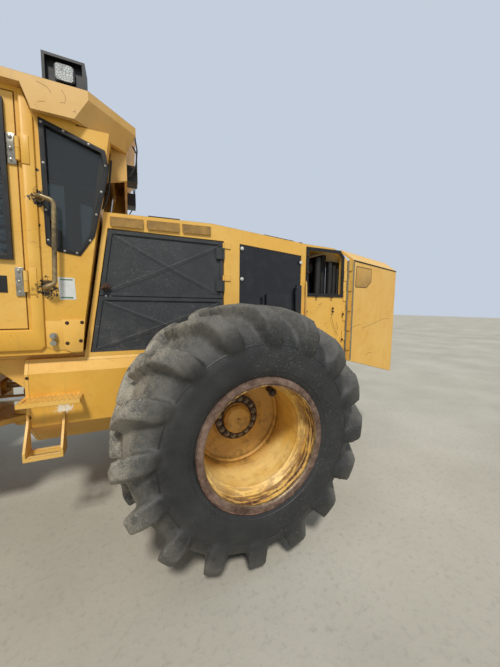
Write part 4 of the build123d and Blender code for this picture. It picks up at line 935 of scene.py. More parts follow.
stud_ring = turned("stud_ring", ((0.1125, -0.1345), (0.1125, ring_face), (0.176, ring_face), (0.1765, -0.1345)),
                   rear_left_centre, 48)
nut_spots = [around(rear_left_centre, nut_circle, 11 + i * 360 / nut_count, ring_face) for i in range(nut_count)]
wheel_nuts = bolts("wheel_nuts", nut_spots, (0, 1, 0), 0.0135, 0.017)
weld_profile = [(0.3450 + 0.014 * math.cos(a), -0.124 + 0.014 * math.sin(a))
                for a in (math.radians(30 * i) for i in range(12))]
weld_ring = turned("disc_weld", weld_profile, rear_left_centre, 72)
flange_ring = turned("flange_ring", ((0.3865, 0.350), (0.389, 0.360), (0.396, 0.366), (0.412, 0.3675), (0.428, 0.3635),
                                     (0.4345, 0.352), (0.434, 0.340), (0.396, 0.340)), rear_left_centre, 96)
# A thin ring of bare steel on the flange's inner lip, bright as a painted highlight of the lip.
lip_highlight_ring = turned("lip_highlight_ring", ((0.3845, 0.350), (0.3865, 0.3585), (0.389, 0.3615), (0.3885, 0.350)), rear_left_centre, 96)
wall_line = turned("wall_line", ((0.634, 0.3600), (0.640, 0.3645), (0.646, 0.3600), (0.640, 0.3500)), rear_left_centre, 96)
wall_mark = turned("wall_mark", ((0.470, 0.3600), (0.474, 0.3640), (0.478, 0.3640), (0.474, 0.3500)), rear_left_centre, 96)
# A thin dark disc in the middle of the hub cap stands for its hole: painted shade.
cap_hole = turned("cap_hole", ((0.0, -0.0885), (0.0, -0.0872), (0.007, -0.0872), (0.007, -0.0885)),
                  rear_left_centre, 16)
valve_body = bar("valve", [around(rear_left_centre, 0.330, 142, -0.11), around(rear_left_centre, 0.326, 142, -0.024)],
                 0.019, 16)
valve_cap = bolts("valve_cap", [around(rear_left_centre, 0.326, 142, -0.025)], (0, 1, 0), 0.022, 0.028)
valve = joined([valve_body, valve_cap], "valve")

# %% Copy them to the other wheels
fittings = ((stud_ring, dark_rust), (wheel_nuts, nut_grey), (weld_ring, None), (flange_ring, flange_steel),
            (lip_highlight_ring, worn_steel_and_highlight), (wall_line, rubber), (wall_mark, rubber), (cap_hole, seal_rubber_and_shade), (valve, cast_grey))
for place in tyres:
    shift = Matrix.Translation((wheelbase, 0, 0)) if place.startswith("front") else Matrix.Identity(4)
    for piece, finish in fittings:
        twin = copied(piece, f"{piece.name}_{place}", shift)
        if place.endswith("right"):
            mirrored = other_side(twin, "mirrored")
            bpy.data.objects.remove(twin)
            twin = named(mirrored, f"{piece.name}_{place}")
        dressed(twin, f"wheel_{place}", finish or rim_materials[f"rim_{place}"])
for piece, finish in fittings:
    bpy.data.objects.remove(piece)
print("wheels fitted with", nut_count, "nuts each")

# %% [markdown]
# ## Engine housing
# The rail over the screens has three pockets backed with expanded metal. The screens below are folded from corner
# to corner for stiffness, and the folds have rubbed bright. Each upper screen has a rusty turn latch. The smooth
# cover next to them is held by pale screws and has a low moulded panel.

# %% Vents and rubbed folds
vent_spans = ((0.856, 0.632, 2.384, 2.320), (0.606, 0.366, 2.391, 2.327), (0.342, 0.112, 2.398, 2.334))
flank = housing_side
for index, (ahead, behind, top, low) in enumerate(vent_spans):
    mesh = side_sheet(f"vent_mesh_{index}", ((ahead - 0.002, top), (behind + 0.002, top + 0.006),
                                              (behind + 0.002, low + 0.006), (ahead - 0.002, low)),
                      flank - 0.0092, 0.0035, 0)
    dressed(other_side(mesh, f"vent_mesh_right_{index}"), "rear_body", vent_mesh)
    dressed(mesh, "rear_body", vent_mesh)

# Corners of each folded sheet and its raised middle, as (x, z)
fold_sheets = {
    "upper": (((0.032, 1.855), (0.9095, 1.855), (0.8437, 2.270), (0.032, 2.270)), (0.4543, 2.0625)),
    "lower": (((0.032, 1.440), (0.975, 1.440), (0.9190, 1.789), (0.032, 1.789)), (0.4895, 1.6145)),
}
for level, (corners, peak) in fold_sheets.items():
    creases = [bar(f"fold_{level}", [spot(x, flank - 0.0138, z), spot(peak[0], flank - 0.0048, peak[1])], 0.0015, 6)
               for x, z in corners]
    folds = joined(creases, f"rubbed_folds_{level}_left")
    mirror_folds = other_side(folds, f"rubbed_folds_{level}_right")
    for piece, side in ((folds, "left"), (mirror_folds, "right")):
        dressed(piece, f"screen_{side}" if level == "upper" else "rear_body", pale_scratch)

# %% Turn latches
def latch(name):
    """A square rusty plate turned on its corner, with a stubby handle and its bolt."""
    x, z, half = 0.897, 1.888, 0.033
    plate = side_sheet(name, ((x - half, z), (x, z + half), (x + half, z), (x, z - half)), flank - 0.014, 0.015, 0.003)
    grip = bar(name, [spot(x - 0.004, flank + 0.006, z + 0.004), spot(x + 0.034, flank + 0.010, z - 0.016)], 0.007, 8)
    knob = flank_bolts(name, [(x, z)], flank + 0.001, 0.013, 0.012)
    return joined([plate, grip, knob], name)


latch_left = latch("screen_latch_left")
latch_right = other_side(latch_left, "screen_latch_right")
dressed(latch_left, "screen_left", dark_rust)
dressed(latch_right, "screen_right", dark_rust)

# %% Cover screws, moulded panel and corner boss
cover_screws = flank_bolts("cover_screws_left", ((-0.779, 2.185), (-0.779, 1.905), (-0.779, 1.69), (-0.166, 1.998),
                                                 (-0.166, 2.26), (-0.166, 1.72)), flank - 0.006, 0.010, 0.006)
cover_panel = side_sheet("cover_panel_left", ((-0.655, 1.665), (-0.655, 1.868), (-0.640, 1.880), (-0.425, 1.880),
                                              (-0.410, 1.868), (-0.410, 1.665)), flank - 0.008, 0.008, 0.003)
cover_boss = side_sheet("cover_boss_left", ((-0.788, 1.665), (-0.788, 1.968), (-0.760, 1.972), (-0.728, 1.945),
                                            (-0.716, 1.900), (-0.722, 1.665)), flank - 0.012, 0.024, 0.009)
cover_post = side_sheet("cover_post_left", ((-0.385, 1.665), (-0.385, 1.845), (-0.370, 1.845), (-0.370, 1.665)),
                        flank - 0.008, 0.012, 0.003)
for piece, finish in ((cover_screws, off_white), (cover_panel, cover_black), (cover_boss, cover_black),
                      (cover_post, cover_black)):
    twin = other_side(piece, piece.name.replace("left", "right"))
    dressed(twin, "rear_body", finish)
    dressed(piece, "rear_body", finish)

# %% [markdown]
# ## Rear side panel and rear door
# The corner panel has a rubber-framed window through which hoses show. Dark bolts hold it, and its front edge is
# folded over and rubbed bright. The door stands open on a long piano hinge of bare grey steel.

# %% Panel bolts, folded edge and scratches
panel_bolts = flank_bolts("panel_bolts_left", ((-0.974, 1.862), (-1.167, 1.862), (-1.186, 1.748), (-1.188, 1.716),
                                               (-1.325, 1.690), (-1.324, 1.420), (-0.864, 2.262), (-0.860, 2.099),
                                               (-0.858, 1.942), (-0.856, 1.715)), flank, 0.0085, 0.005)
edge_strip = side_sheet("panel_edge_left", ((-0.8325, 1.640), (-0.8325, 2.02), (-0.846, 2.00), (-0.852, 1.90),
                                            (-0.852, 1.68), (-0.846, 1.640)), flank, 0.014, 0.006)
for piece, finish in ((panel_bolts, dark_rust), (edge_strip, fascia)):
    dressed(other_side(piece, piece.name.replace("left", "right")), "rear_body", finish)
    dressed(piece, "rear_body", finish)


def scratch(name, points, radius=0.0016):
    """A scratch down to the rust, as a hair-thin line that lies half in the surface."""
    return bar(name, points, radius, 6)


panel_scratches = joined([
    scratch("panel_scratch", [spot(x, flank, z) for x, z in line]) for line in (
        ((-1.161, 1.689), (-1.178, 1.640), (-1.192, 1.603), (-1.207, 1.56), (-1.229, 1.515), (-1.265, 1.461)),
        ((-0.997, 1.781), (-1.022, 1.790), (-1.048, 1.807)), ((-1.09, 1.60), (-1.12, 1.585)),
        ((-1.245, 1.60), (-1.262, 1.52)))], "panel_scratches")
dressed(panel_scratches, "rear_body", brown_scratch)

# %% Piano hinge in bare steel
hinge_x, hinge_y = -1.379, 0.669
hinge_pin = bar("rear_hinge_pin", [spot(hinge_x, hinge_y, 1.192), spot(hinge_x, hinge_y, 2.250)], 0.0092, 12)
dressed(hinge_pin, "rear_body", bare_grey)

# %% Details of the rear door, drawn on the closed door and then swung open
door_open = (Matrix.Translation(spot(hinge_x, hinge_y, 0)) @ Matrix.Rotation(math.radians(-71), 4, "Z")
             @ Matrix.Translation(-spot(hinge_x, hinge_y, 0)))
door_face = -1.430


def door_sheet(name, outline, thickness, round_edges=0.002):
    """A plate on the door's outer face, from (y, z) points."""
    piece = sheet_metal(name, [spot(door_face + 0.001, y, z) for y, z in outline], (-thickness, 0, 0), round_edges)
    piece.data.transform(door_open)
    return piece


def ring_sheet(name, outline, width, push):
    """A frame of even width: a face cut to an outline, inset, emptied and given its thickness."""
    bpy.ops.object.select_all(action="DESELECT")
    bpy.ops.mesh.primitive_circle_add(vertices=len(outline), fill_type="NGON")
    piece = named(bpy.context.active_object, name)
    for point, place in zip(piece.data.vertices, outline):
        point.co = place
    edit(piece)
    bpy.ops.mesh.inset(thickness=width)
    bpy.ops.mesh.delete(type="ONLY_FACE")
    bpy.ops.mesh.select_all(action="SELECT")
    bpy.ops.mesh.extrude_region_move(TRANSFORM_OT_translate={"value": tuple(push)})
    bpy.ops.mesh.select_all(action="SELECT")
    bpy.ops.mesh.normals_make_consistent(inside=False)
    leave()
    return soften(piece, width * 0.16)


patch_outline = ((0.578, 2.200), (0.232, 2.205), (0.220, 2.192), (0.212, 2.060), (0.330, 1.985), (0.590, 1.975),
                 (0.602, 1.988), (0.590, 2.190))
door_patch = door_sheet("door_blank_plate", patch_outline, 0.002)
dressed(door_patch, "rear_door", plate_ochre)
patch_rim = ring_sheet("door_plate_edge", [spot(door_face + 0.001, y, z) for y, z in patch_outline], 0.007, (-0.0035, 0, 0))
patch_rim.data.transform(door_open)
dressed(patch_rim, "rear_door", brown_scratch)
hinge_leaf_strip = door_sheet("door_hinge_leaf", ((0.655, 1.195), (0.655, 2.235), (0.628, 2.235), (0.628, 1.195)), 0.002, 0)
dressed(hinge_leaf_strip, "rear_door", bare_grey)
seal = door_sheet("door_top_seal", ((0.655, 2.243), (0.655, 2.256), (-0.535, 2.256), (-0.535, 2.243)), 0.006)
dressed(seal, "rear_door", seal_rubber_and_shade)
door_scratches = joined([scratch("door_scratch", [spot(door_face, y, z) for y, z in line], 0.0014) for line in (
    ((0.633, 1.545), (0.588, 1.556), (0.545, 1.564), (0.432, 1.576)),
    ((0.388, 1.529), (0.22, 1.552), (0.076, 1.580), (-0.08, 1.606), (-0.206, 1.623), (-0.407, 1.625)),
    ((0.27, 1.20), (0.18, 1.23), (0.09, 1.22)))], "door_scratches")
door_scratches.data.transform(door_open)
dressed(door_scratches, "rear_door", brown_scratch)
print("rear door dressed")

# %% [markdown]
# ## Cab flank
# The door post and the sill stand out from the cab wall as one folded frame, and a bolted plate closes the corner
# behind them. The slanted side window is held by a black rubber frame with bright screws, and the door hangs on
# two galvanised hinges.

# %% Door post and sill
post = side_sheet("door_post_frame", ((1.262, 2.912), (1.309, 3.048), (1.3290, 3.048), (1.3290, 1.584), (2.170, 1.584),
                                      (2.170, 1.452), (1.288, 1.452), (1.264, 1.478)), cab_side, 0.018, 0.006)
dressed(post, "rear_body", cab_paint)
skirt = side_sheet("cab_skirt", ((1.262, 1.645), (1.262, 1.47), (1.215, 1.445), (1.08, 1.445), (1.062, 1.645)),
                   cab_side, 0.004, 0.002)
cover_plate = side_sheet("cab_corner_plate", ((1.171, 1.652), (1.030, 1.652), (1.052, 1.428), (1.120, 1.428), (1.150, 1.442),
                                              (1.163, 1.470)), cab_side, 0.010, 0.004)
for piece in (skirt, cover_plate):
    twin = other_side(piece, f"{piece.name}_right")
    dressed(twin, "rear_body", yellow)
    dressed(piece, "rear_body", yellow)
plate_bolts = flank_bolts("corner_plate_bolts", ((1.138, 1.630), (1.050, 1.633), (1.141, 1.491), (1.062, 1.505)),
                          cab_side + 0.010, 0.008, 0.005)
dressed(other_side(plate_bolts, "corner_plate_bolts_right"), "rear_body", dark_rust)
dressed(plate_bolts, "rear_body", dark_rust)

# %% Small fittings under the post
lamp_socket = joined([
    bar("sill_fitting", [spot(1.216, cab_side, 1.545), spot(1.216, cab_side + 0.030, 1.545)], 0.021, 20),
    bar("sill_fitting", [spot(1.216, cab_side, 1.498), spot(1.216, cab_side + 0.038, 1.498)], 0.018, 20),
    bar("sill_fitting", [spot(1.216, cab_side + 0.03, 1.545), spot(1.216, cab_side + 0.042, 1.545)], 0.014, 12),
], "sill_fitting")
dressed(soften(lamp_socket, 0.003), "rear_body", zinc)
oval = [(1.290 + 0.042 * math.cos(a), 1.443 + 0.016 * math.sin(a)) for a in (math.radians(24 * i) for i in range(15))]
oval_plate = side_sheet("oval_plate", oval, 0.702, 0.006, 0.001)
# The slot in the oval plate is a thin dark plate on its face: painted shade of the slot.
slot_shade = side_sheet("oval_slot_shade", [(1.290 + 0.020 * math.cos(a), 1.443 + 0.006 * math.sin(a))
                                    for a in (math.radians(36 * i) for i in range(10))], 0.7075, 0.002, 0)
dressed(oval_plate, "rear_body", bare_grey)
dressed(slot_shade, "rear_body", seal_rubber_and_shade)

# %% Window frame and its screws
window_outline = ((1.238, 2.921), (0.869, 2.801), (0.848, 2.676), (0.951, 2.222), (1.041, 2.084), (1.165, 2.101),
                  (1.232, 2.145))
window_rubber = ring_sheet("side_window_frame", [spot(x, cab_side - 0.001, z) for x, z in window_outline], 0.030,
                           (0, 0.008, 0))
screw_places = ((1.222, 2.890), (1.221, 2.647), (1.105, 2.864), (0.965, 2.817), (0.871, 2.700), (0.901, 2.525),
                (1.220, 2.36), (1.217, 2.170), (1.130, 2.109), (1.060, 2.101), (0.980, 2.192), (0.936, 2.370))
window_screws = flank_bolts("window_screws", screw_places, cab_side + 0.007, 0.0048, 0.004)
for piece, finish in ((window_rubber, seal_rubber_and_shade), (window_screws, zinc)):
    dressed(other_side(piece, f"{piece.name}_right"), "rear_body", finish)
    dressed(piece, "rear_body", finish)

# %% Blank label, galvanised hinge plates and latch
label = side_sheet("blank_label", ((1.178, 1.937), (1.084, 1.934), (1.078, 1.789), (1.172, 1.787)), cab_side, 0.0012, 0)
dressed(label, "rear_body", off_white)
label_green = joined([side_sheet("label_stripe", ((1.166, z), (1.094, z), (1.094, z - h), (1.166, z - h)),
                                 cab_side + 0.0010, 0.0006, 0) for z, h in ((1.925, 0.008), (1.806, 0.010))],
                     "blank_label_stripes")
dressed(label_green, "rear_body", label_tint)
hinge_levels = (1.900, 2.700)
door_plates = []
for level in hinge_levels:
    door_plates.append(side_sheet("door_hinge_plate", ((1.3545, level - 0.095), (1.3545, level + 0.085), (1.401, level + 0.085),
                                                       (1.401, level - 0.095)), cab_side - 0.001, 0.011, 0.003))
    pad = side_sheet("hinge_pad", ((1.286, level - 0.085), (1.286, level + 0.085), (1.3290, level + 0.085),
                                   (1.3290, level - 0.085)), cab_side, 0.024, 0.004)
    dressed(pad, "rear_body", cab_paint)
door_plates.append(flank_bolts("door_hinge_bolts", [(1.382, level + rise) for level in hinge_levels
                                                    for rise in (-0.072, -0.005, 0.062)], cab_side + 0.010, 0.009, 0.006))
dressed(joined(door_plates, "door_hinge_plates"), "cab_door", zinc)
latch_box = side_sheet("door_latch", ((1.92, 1.80), (1.92, 1.96), (1.99, 1.96), (1.99, 1.80)), cab_side, 0.006, 0.003)
latch_grip = bar("door_latch", [spot(1.935, cab_side + 0.022, 1.90), spot(1.975, cab_side + 0.022, 1.90)], 0.009, 10)
dressed(joined([latch_box, latch_grip], "door_latch"), "cab_door", black_part)
# A thin dark plate on the door stands for a small recess: painted shade of the recess.
recess_shade = side_sheet("door_recess_shade", ((1.445, 1.825), (1.445, 1.930), (1.500, 1.930), (1.500, 1.825)), cab_side, 0.003, 0)
dressed(recess_shade, "cab_door", seal_rubber_and_shade)
print("cab flank dressed")

# %% [markdown]
# ## Roof
# The folded roof rim carries a thin wire guard behind the rear corner and the cab's washer pipe runs down beside
# the window. Scratches from branches cross the rim.

# %% Wire guard, pipes and scratches of the roof
guard_lines = (
    ((0.672, 0.500, 3.060), (0.655, 0.505, 2.960), (0.668, 0.500, 2.850), (0.715, 0.487, 2.760)),
    ((0.690, 0.500, 2.985), (0.662, 0.470, 2.950), (0.662, 0.470, 2.850), (0.705, 0.484, 2.830)),
    ((0.655, 0.505, 2.960), (0.655, 0.380, 2.960), (0.655, 0.225, 2.960)),
    ((0.668, 0.500, 2.850), (0.660, 0.380, 2.850), (0.660, 0.225, 2.850)),
)
guard_wires = []
for line in guard_lines:
    guard_wires.append(bar("lamp_guard", [spot(max(x, 0.658), y, z) for x, y, z in line], 0.0055, 8))
    guard_wires.append(bar("lamp_guard", [spot(max(x, 0.658), -y, z) for x, y, z in line], 0.0055, 8))
dressed(joined(guard_wires, "rear_lamp_guard"), "rear_body", black_part)
pipes = [bar("cab_rear_pipe", [spot(0.838, side * 0.60, 2.80), spot(0.848, side * 0.60, 2.70), spot(0.872, side * 0.60, 2.50),
                               spot(0.915, side * 0.60, 2.445)], 0.007, 8, True) for side in (1, -1)]
pipes += [bar("cab_rear_pipe", [spot(0.852, side * 0.63, 2.76), spot(0.882, side * 0.63, 2.55), spot(0.93, side * 0.63, 2.44)],
              0.005, 8, True) for side in (1, -1)]
dressed(joined(pipes, "cab_rear_pipes"), "rear_body", rubber_hose)
roof_edge = 0.780
roof_scratches = joined([scratch("roof_scratch", [spot(x, roof_edge, z) for x, z in line], 0.0009) for line in (
    ((1.222, 3.088), (1.171, 3.073), (1.148, 3.044)), ((1.093, 3.079), (1.074, 3.039), (1.080, 3.005), (1.105, 3.002)),
    ((1.40, 3.10), (1.48, 3.085)), ((1.185, 2.985), (1.22, 2.975)))], "roof_scratches")
dressed(roof_scratches, "rear_body", brown_scratch)

# %% [markdown]
# ## On top of the hood
# Low bars on short feet help a person who climbs on the hood to check the coolers. A short filler cap stands
# on each side between them.

# %% Hood bars, filler cap and seams
def hood_height(x):
    """Top of the hood at a distance from the rear axle."""
    line = ((0.900, 2.415), (0.100, 2.438), (-0.830, 2.369), (-1.191, 2.360), (-1.376, 2.258))
    for (xa, za), (xb, zb) in zip(line, line[1:]):
        if xb <= x <= xa:
            return za + (zb - za) * (x - xa) / (xb - xa)
    return line[0][1]


hood_bars = []
for ahead, behind in ((0.585, 0.352), (-0.440, -0.755)):
    for side in (1, -1):
        top, low = hood_height(ahead), hood_height(behind)
        hood_bars.append(bar("hood_bar", [spot(ahead, side * 0.56, top - 0.004), spot(ahead, side * 0.56, top + 0.032),
                                          spot(behind, side * 0.56, low + 0.032), spot(behind, side * 0.56, low - 0.004)],
                             0.008, 10))
dressed(joined(hood_bars, "hood_grab_bars"), "rear_body", black_part)
filler = [bar("filler", [spot(-0.835, side * 0.57, hood_height(-0.835) - 0.003),
                         spot(-0.835, side * 0.57, hood_height(-0.835) + 0.030)], 0.020, 20) for side in (1, -1)]
dressed(soften(joined(filler, "hood_knobs"), 0.004), "rear_body", cast_grey)
lids = []
for ahead, behind, half in ((0.78, 0.20, 0.44), (-0.18, -0.72, 0.40)):
    lids.append(sheet_metal("hood_lid", [spot(ahead, half, hood_height(ahead) - 0.002), spot(ahead, -half, hood_height(ahead) - 0.002),
                                         spot(behind, -half, hood_height(behind) - 0.002),
                                         spot(behind, half, hood_height(behind) - 0.002)], (0, 0, 0.011), 0.004))
dressed(joined(lids, "hood_lids"), "rear_body", yellow)
lid_bolts = bolts("lid_bolts", [spot(x, y, hood_height(x) + 0.008) for x in (0.74, 0.49, 0.24) for y in (-0.40, 0.40)]
                  + [spot(x, y, hood_height(x) + 0.008) for x in (-0.22, -0.45, -0.68) for y in (-0.36, 0.36)],
                  (0, 0, 1), 0.010, 0.006)
dressed(lid_bolts, "rear_body", dark_rust)

# %% [markdown]
# ## Engine bay
# Through the rear panel's window and the open door one sees the fan's shroud, its guard and a tangle of hoses. The
# shroud is a plate, and the guard is made of rings and spokes.

# %% Fan shroud, guard and hoses
fan_x, fan_z, fan_radius = -1.196, 1.84, 0.345
shroud = box("fan_shroud", spot(fan_x, -0.533, 1.440), spot(fan_x + 0.060, 0.533, 2.315), 0.010)
dressed(shroud, "rear_body", seal_rubber_and_shade)
# Two dark sheets line the bay just inside the side panels: painted shade, so that the bay looks dark through the
# window.
shade_walls = [box("bay_baffle", spot(-1.372, side * 0.536 - 0.004, 1.400), spot(fan_x + 0.004, side * 0.536 + 0.004, 2.250), 0.003)
           for side in (1, -1)]
dressed(joined(shade_walls, "bay_shade_walls"), "rear_body", seal_rubber_and_shade)
fan_centre = spot(fan_x - 0.006, 0, fan_z)


def fan_ring(radius, wire):
    return bar("fan_guard", [fan_centre + Vector((0, radius * math.cos(a), radius * math.sin(a)))
                             for a in (math.radians(15 * i) for i in range(25))], wire, 6)


guard_parts = [fan_ring(fan_radius * share, 0.0035) for share in (0.28, 0.46, 0.64, 0.82, 1.0)]
for i in range(8):
    a = math.radians(45 * i)
    guard_parts.append(bar("fan_guard", [fan_centre + Vector((-0.004, 0.09 * math.cos(a), 0.09 * math.sin(a))),
                                         fan_centre + Vector((-0.004, fan_radius * math.cos(a), fan_radius * math.sin(a)))],
                           0.0045, 6))
dressed(joined(guard_parts, "fan_guard"), "rear_body", bare_grey)
fan_hub = bar("fan_hub", [fan_centre + Vector((0.002, 0, 0)), fan_centre + Vector((-0.012, 0, 0))], 0.085, 24)
dressed(soften(fan_hub, 0.004), "rear_body", cast_grey)
bay_hoses = []
for side in (1, -1):
    for ahead, out, low, high, radius in ((-1.215, 0.578, 1.46, 2.24, 0.026), (-1.270, 0.578, 1.42, 2.20, 0.020),
                                          (-1.318, 0.580, 1.42, 2.17, 0.017), (-1.060, 0.575, 1.50, 2.27, 0.030)):
        bay_hoses.append(bar("bay_hose", [spot(ahead, side * out, low), spot(ahead, side * out, low + 0.12),
                                          spot(ahead + 0.012, side * out, (low + high) / 2),
                                          spot(ahead, side * out, high - 0.12), spot(ahead + 0.010, side * out, high)], radius, 12, True))
dressed(joined(bay_hoses, "bay_hoses"), "rear_body", rubber_hose)
cleaner = bar("air_cleaner", [spot(-1.08, 0.34, 2.19), spot(-0.56, 0.34, 2.19)], 0.115, 32)
cleaner_bands = [bar("air_cleaner", [spot(x, 0.34, 2.19), spot(x + 0.025, 0.34, 2.19)], 0.120, 32) for x in (-0.98, -0.68)]
dressed(soften(joined([cleaner] + cleaner_bands, "air_cleaner"), 0.008), "rear_body", lamp_black)
sump = [box("rocker_cover", spot(-1.02, -0.16, 2.02), spot(-0.30, 0.16, 2.11), 0.02),
        bar("exhaust_pipe", [spot(-0.34, -0.26, 1.96), spot(-0.34, -0.42, 2.05), spot(-0.50, -0.46, 2.20), spot(-0.90, -0.46, 2.20)],
            0.05, 16, True)]
dressed(joined(sump, "engine_top"), "rear_body", cast_grey)

# %% [markdown]
# ## Frame hinge
# Hoses cross from the rear frame to the front frame beside the hinge. They must bend when the machine steers;
# here each is a fixed mesh that moves with neither frame. Yellow clamp blocks sit at the ends of the hoses.

# %% Hoses over the hinge
hose_rows = ((0.150, 1.338, 0.019), (0.105, 1.345, 0.016), (-0.105, 1.345, 0.016), (-0.150, 1.338, 0.019))
for index, (across, level, radius) in enumerate(hose_rows):
    hose = bar(f"hinge_hose_{index}", [spot(1.385, across, level - 0.02), spot(1.45, across, level - 0.005),
                                       spot(1.575, across * 0.75, level + 0.012), spot(1.70, across, level + 0.01),
                                       spot(1.80, across, level + 0.006), spot(1.93, across, level + 0.012)],
               radius, 12, True)
    hose = modifier(hose, "SUBSURF", levels=1, render_levels=1)
    dressed(hose, None, rubber_hose)
    tuple(spot(1.47, 0, level))
    tuple(spot(1.68, 0, level))
    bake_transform(hose)
clamp_rear = box("hose_clamp_rear", spot(1.395, -0.185, 1.322), spot(1.425, 0.185, 1.375), 0.006)
dressed(clamp_rear, "rear_body", yellow)
clamp_front = box("hose_clamp_front", spot(1.86, -0.185, 1.326), spot(1.89, 0.185, 1.378), 0.006)
dressed(clamp_front, "front_body", yellow)
side_hoses = []
for side in (1, -1):
    for x, z, r, out in ((1.40, 1.24, 0.017, 0.50), (1.40, 1.17, 0.014, 0.53), (1.40, 0.96, 0.016, 0.49)):
        side_hoses.append(bar("nose_hose", [spot(x, side * out, z), spot(x + 0.035, side * out, z), spot(x + 0.055, side * (out - 0.03), z - 0.05),
                                            spot(x + 0.045, side * (out - 0.07), z - 0.11), spot(x, side * (out - 0.08), z - 0.12)],
                              r, 10, True))
dressed(joined(side_hoses, "nose_hoses"), "rear_body", rubber_hose)

# %% Pin caps and bolts of the hinge and the frames
pin_caps = bolts("hinge_pin_bolts", [spot(1.575 + 0.030 * math.cos(a), 0.030 * math.sin(a), 1.293)
                                     for a in (math.radians(120 * i) for i in range(3))], (0, 0, 1), 0.009, 0.006)
dressed(pin_caps, "rear_body", nut_grey)
beam_bolts = flank_bolts("beam_bolts", ((1.385, 1.262), (1.385, 0.99), (0.62, 1.262), (0.30, 1.262), (-0.32, 1.262),
                                        (-0.70, 1.262), (-1.05, 1.262)), 0.700, 0.007, 0.005)
dressed(other_side(beam_bolts, "beam_bolts_right"), "rear_body", dark_rust)
dressed(beam_bolts, "rear_body", dark_rust)
tail_lamps = [bar("tail_lamp", [spot(-1.357, side * 0.43, 1.235), spot(-1.376, side * 0.43, 1.235)], 0.038, 28) for side in (1, -1)]
dressed(soften(joined(tail_lamps, "tail_lamps"), 0.004), "rear_body", tail_red)
lamp_rims = [bar("tail_lamp_rim", [spot(-1.357, side * 0.43, 1.235), spot(-1.367, side * 0.43, 1.235)], 0.048, 28) for side in (1, -1)]
dressed(joined(lamp_rims, "tail_lamp_rims"), "rear_body", seal_rubber_and_shade)
tail_bolts = bolts("tail_bolts", [spot(-1.359, y, z) for y in (-0.56, -0.28, 0.28, 0.56) for z in (1.02, 1.30)], (-1, 0, 0), 0.012, 0.008)
dressed(tail_bolts, "rear_body", dark_rust)

# %% [markdown]
# ## Front frame, lift arms and felling head
# These parts are outside the photograph. They get the hoses, keeper plates and bolts that such machines carry, and
# hose runs that follow the arms.

# %% Pin keepers and arm hoses
def keeper(name, centre, y, side, radius=0.052):
    """A round pin cap with three bolts on the machine's flank."""
    x, z = centre
    cap = bar(name, [spot(x, side * y, z), spot(x, side * (y + 0.012), z)], radius, 28)
    heads = bolts(name, [spot(x + radius * 0.58 * math.cos(a), side * (y + 0.012), z + radius * 0.58 * math.sin(a))
                         for a in (math.radians(90 + 120 * i) for i in range(3))], (0, side, 0), 0.008, 0.006)
    return joined([soften(cap, 0.003), heads], name)


lift_pin = (wheelbase - 0.360, 1.830)
hitch = (wheelbase + 1.180, 0.900)
dressed(joined([keeper("lift_pin_caps", lift_pin, 0.487, side) for side in (1, -1)], "lift_pin_caps"), "front_body", nut_grey)
dressed(joined([keeper("hitch_pin_caps", hitch, 0.487, side) for side in (1, -1)], "hitch_pin_caps"), "lift_body", nut_grey)
arm_hoses = []
for side in (1, -1):
    for drop, radius in ((0.045, 0.015), (0.090, 0.013)):
        arm_hoses.append(bar("arm_hose", [spot(wheelbase - 0.30, side * 0.385, 1.90 - drop), spot(wheelbase + 0.20, side * 0.385, 1.905 - drop),
                                          spot(wheelbase + 0.62, side * 0.385, 1.745 - drop), spot(wheelbase + 0.92, side * 0.385, 1.36 - drop),
                                          spot(wheelbase + 1.13, side * 0.385, 1.08 - drop)], radius, 10, True))
dressed(joined(arm_hoses, "lift_arm_hoses"), "lift_body", rubber_hose)
arm_clips = [box("arm_clip", spot(wheelbase + x, side * 0.368 - 0.018, z - 0.12), spot(wheelbase + x + 0.03, side * 0.368 + 0.033, z - 0.015), 0.004)
             for side in (1, -1) for x, z in ((-0.05, 1.905), (0.40, 1.850))]
dressed(joined(arm_clips, "arm_hose_clips"), "lift_body", yellow)

# %% Saw motor, shroud bolts and tower details
saw = spot(wheelbase + 1.650, 0, 0)
motor = bar("saw_motor", [saw + Vector((0, 0, 0.330)), saw + Vector((0, 0, 0.460))], 0.120, 32)
motor_top = bar("saw_motor", [saw + Vector((0, 0, 0.455)), saw + Vector((0, 0, 0.560))], 0.082, 32)
dressed(soften(joined([motor, motor_top], "saw_motor"), 0.006), "head_body", cast_grey)
shroud_bolts = bolts("shroud_bolts", [saw + Vector((0.165 * math.cos(a), 0.165 * math.sin(a), 0.330)) for a in
                                      (math.radians(30 * i) for i in range(12))]
                     + [saw + Vector((0.735 * math.cos(a), 0.735 * math.sin(a), 0.330)) for a in
                        (math.radians(70 + 20 * i) for i in range(12))], (0, 0, 1), 0.013, 0.009)
dressed(shroud_bolts, "head_body", dark_rust)
head_hoses = [bar("head_hose", [saw + Vector((-0.06, y, 0.52)), saw + Vector((-0.16, y * 1.6, 0.62)), saw + Vector((-0.28, y * 2.2, 0.80)),
                                saw + Vector((-0.300, y * 2.6, 1.15)), saw + Vector((-0.300, y * 2.6, 1.62))], 0.016, 10, True)
              for y in (-0.07, -0.025, 0.025, 0.07)]
dressed(joined(head_hoses, "head_hoses"), "head_body", rubber_hose)
tower_bolts = [flank_bolts("tower_bolts", [(wheelbase + 1.65 - 0.30, z) for z in (1.86, 2.05, 2.24, 2.43)], 0.330, 0.013, 0.009)]
tower_bolts.append(other_side(tower_bolts[0], "tower_bolts"))
dressed(joined(tower_bolts, "tower_bolts"), "head_body", dark_rust)
for arm, level, side in (("clamp", 1.170, 1), ("accumulator", 1.530, -1)):
    cap = bolts(f"{arm}_pin_bolts", [saw + Vector((0.038 * math.cos(a), side * 0.400 + 0.038 * math.sin(a), level))
                                     for a in (math.radians(120 * i) for i in range(3))], (0, 0, 1), 0.009, 0.005)
    dressed(cap, arm, nut_grey)

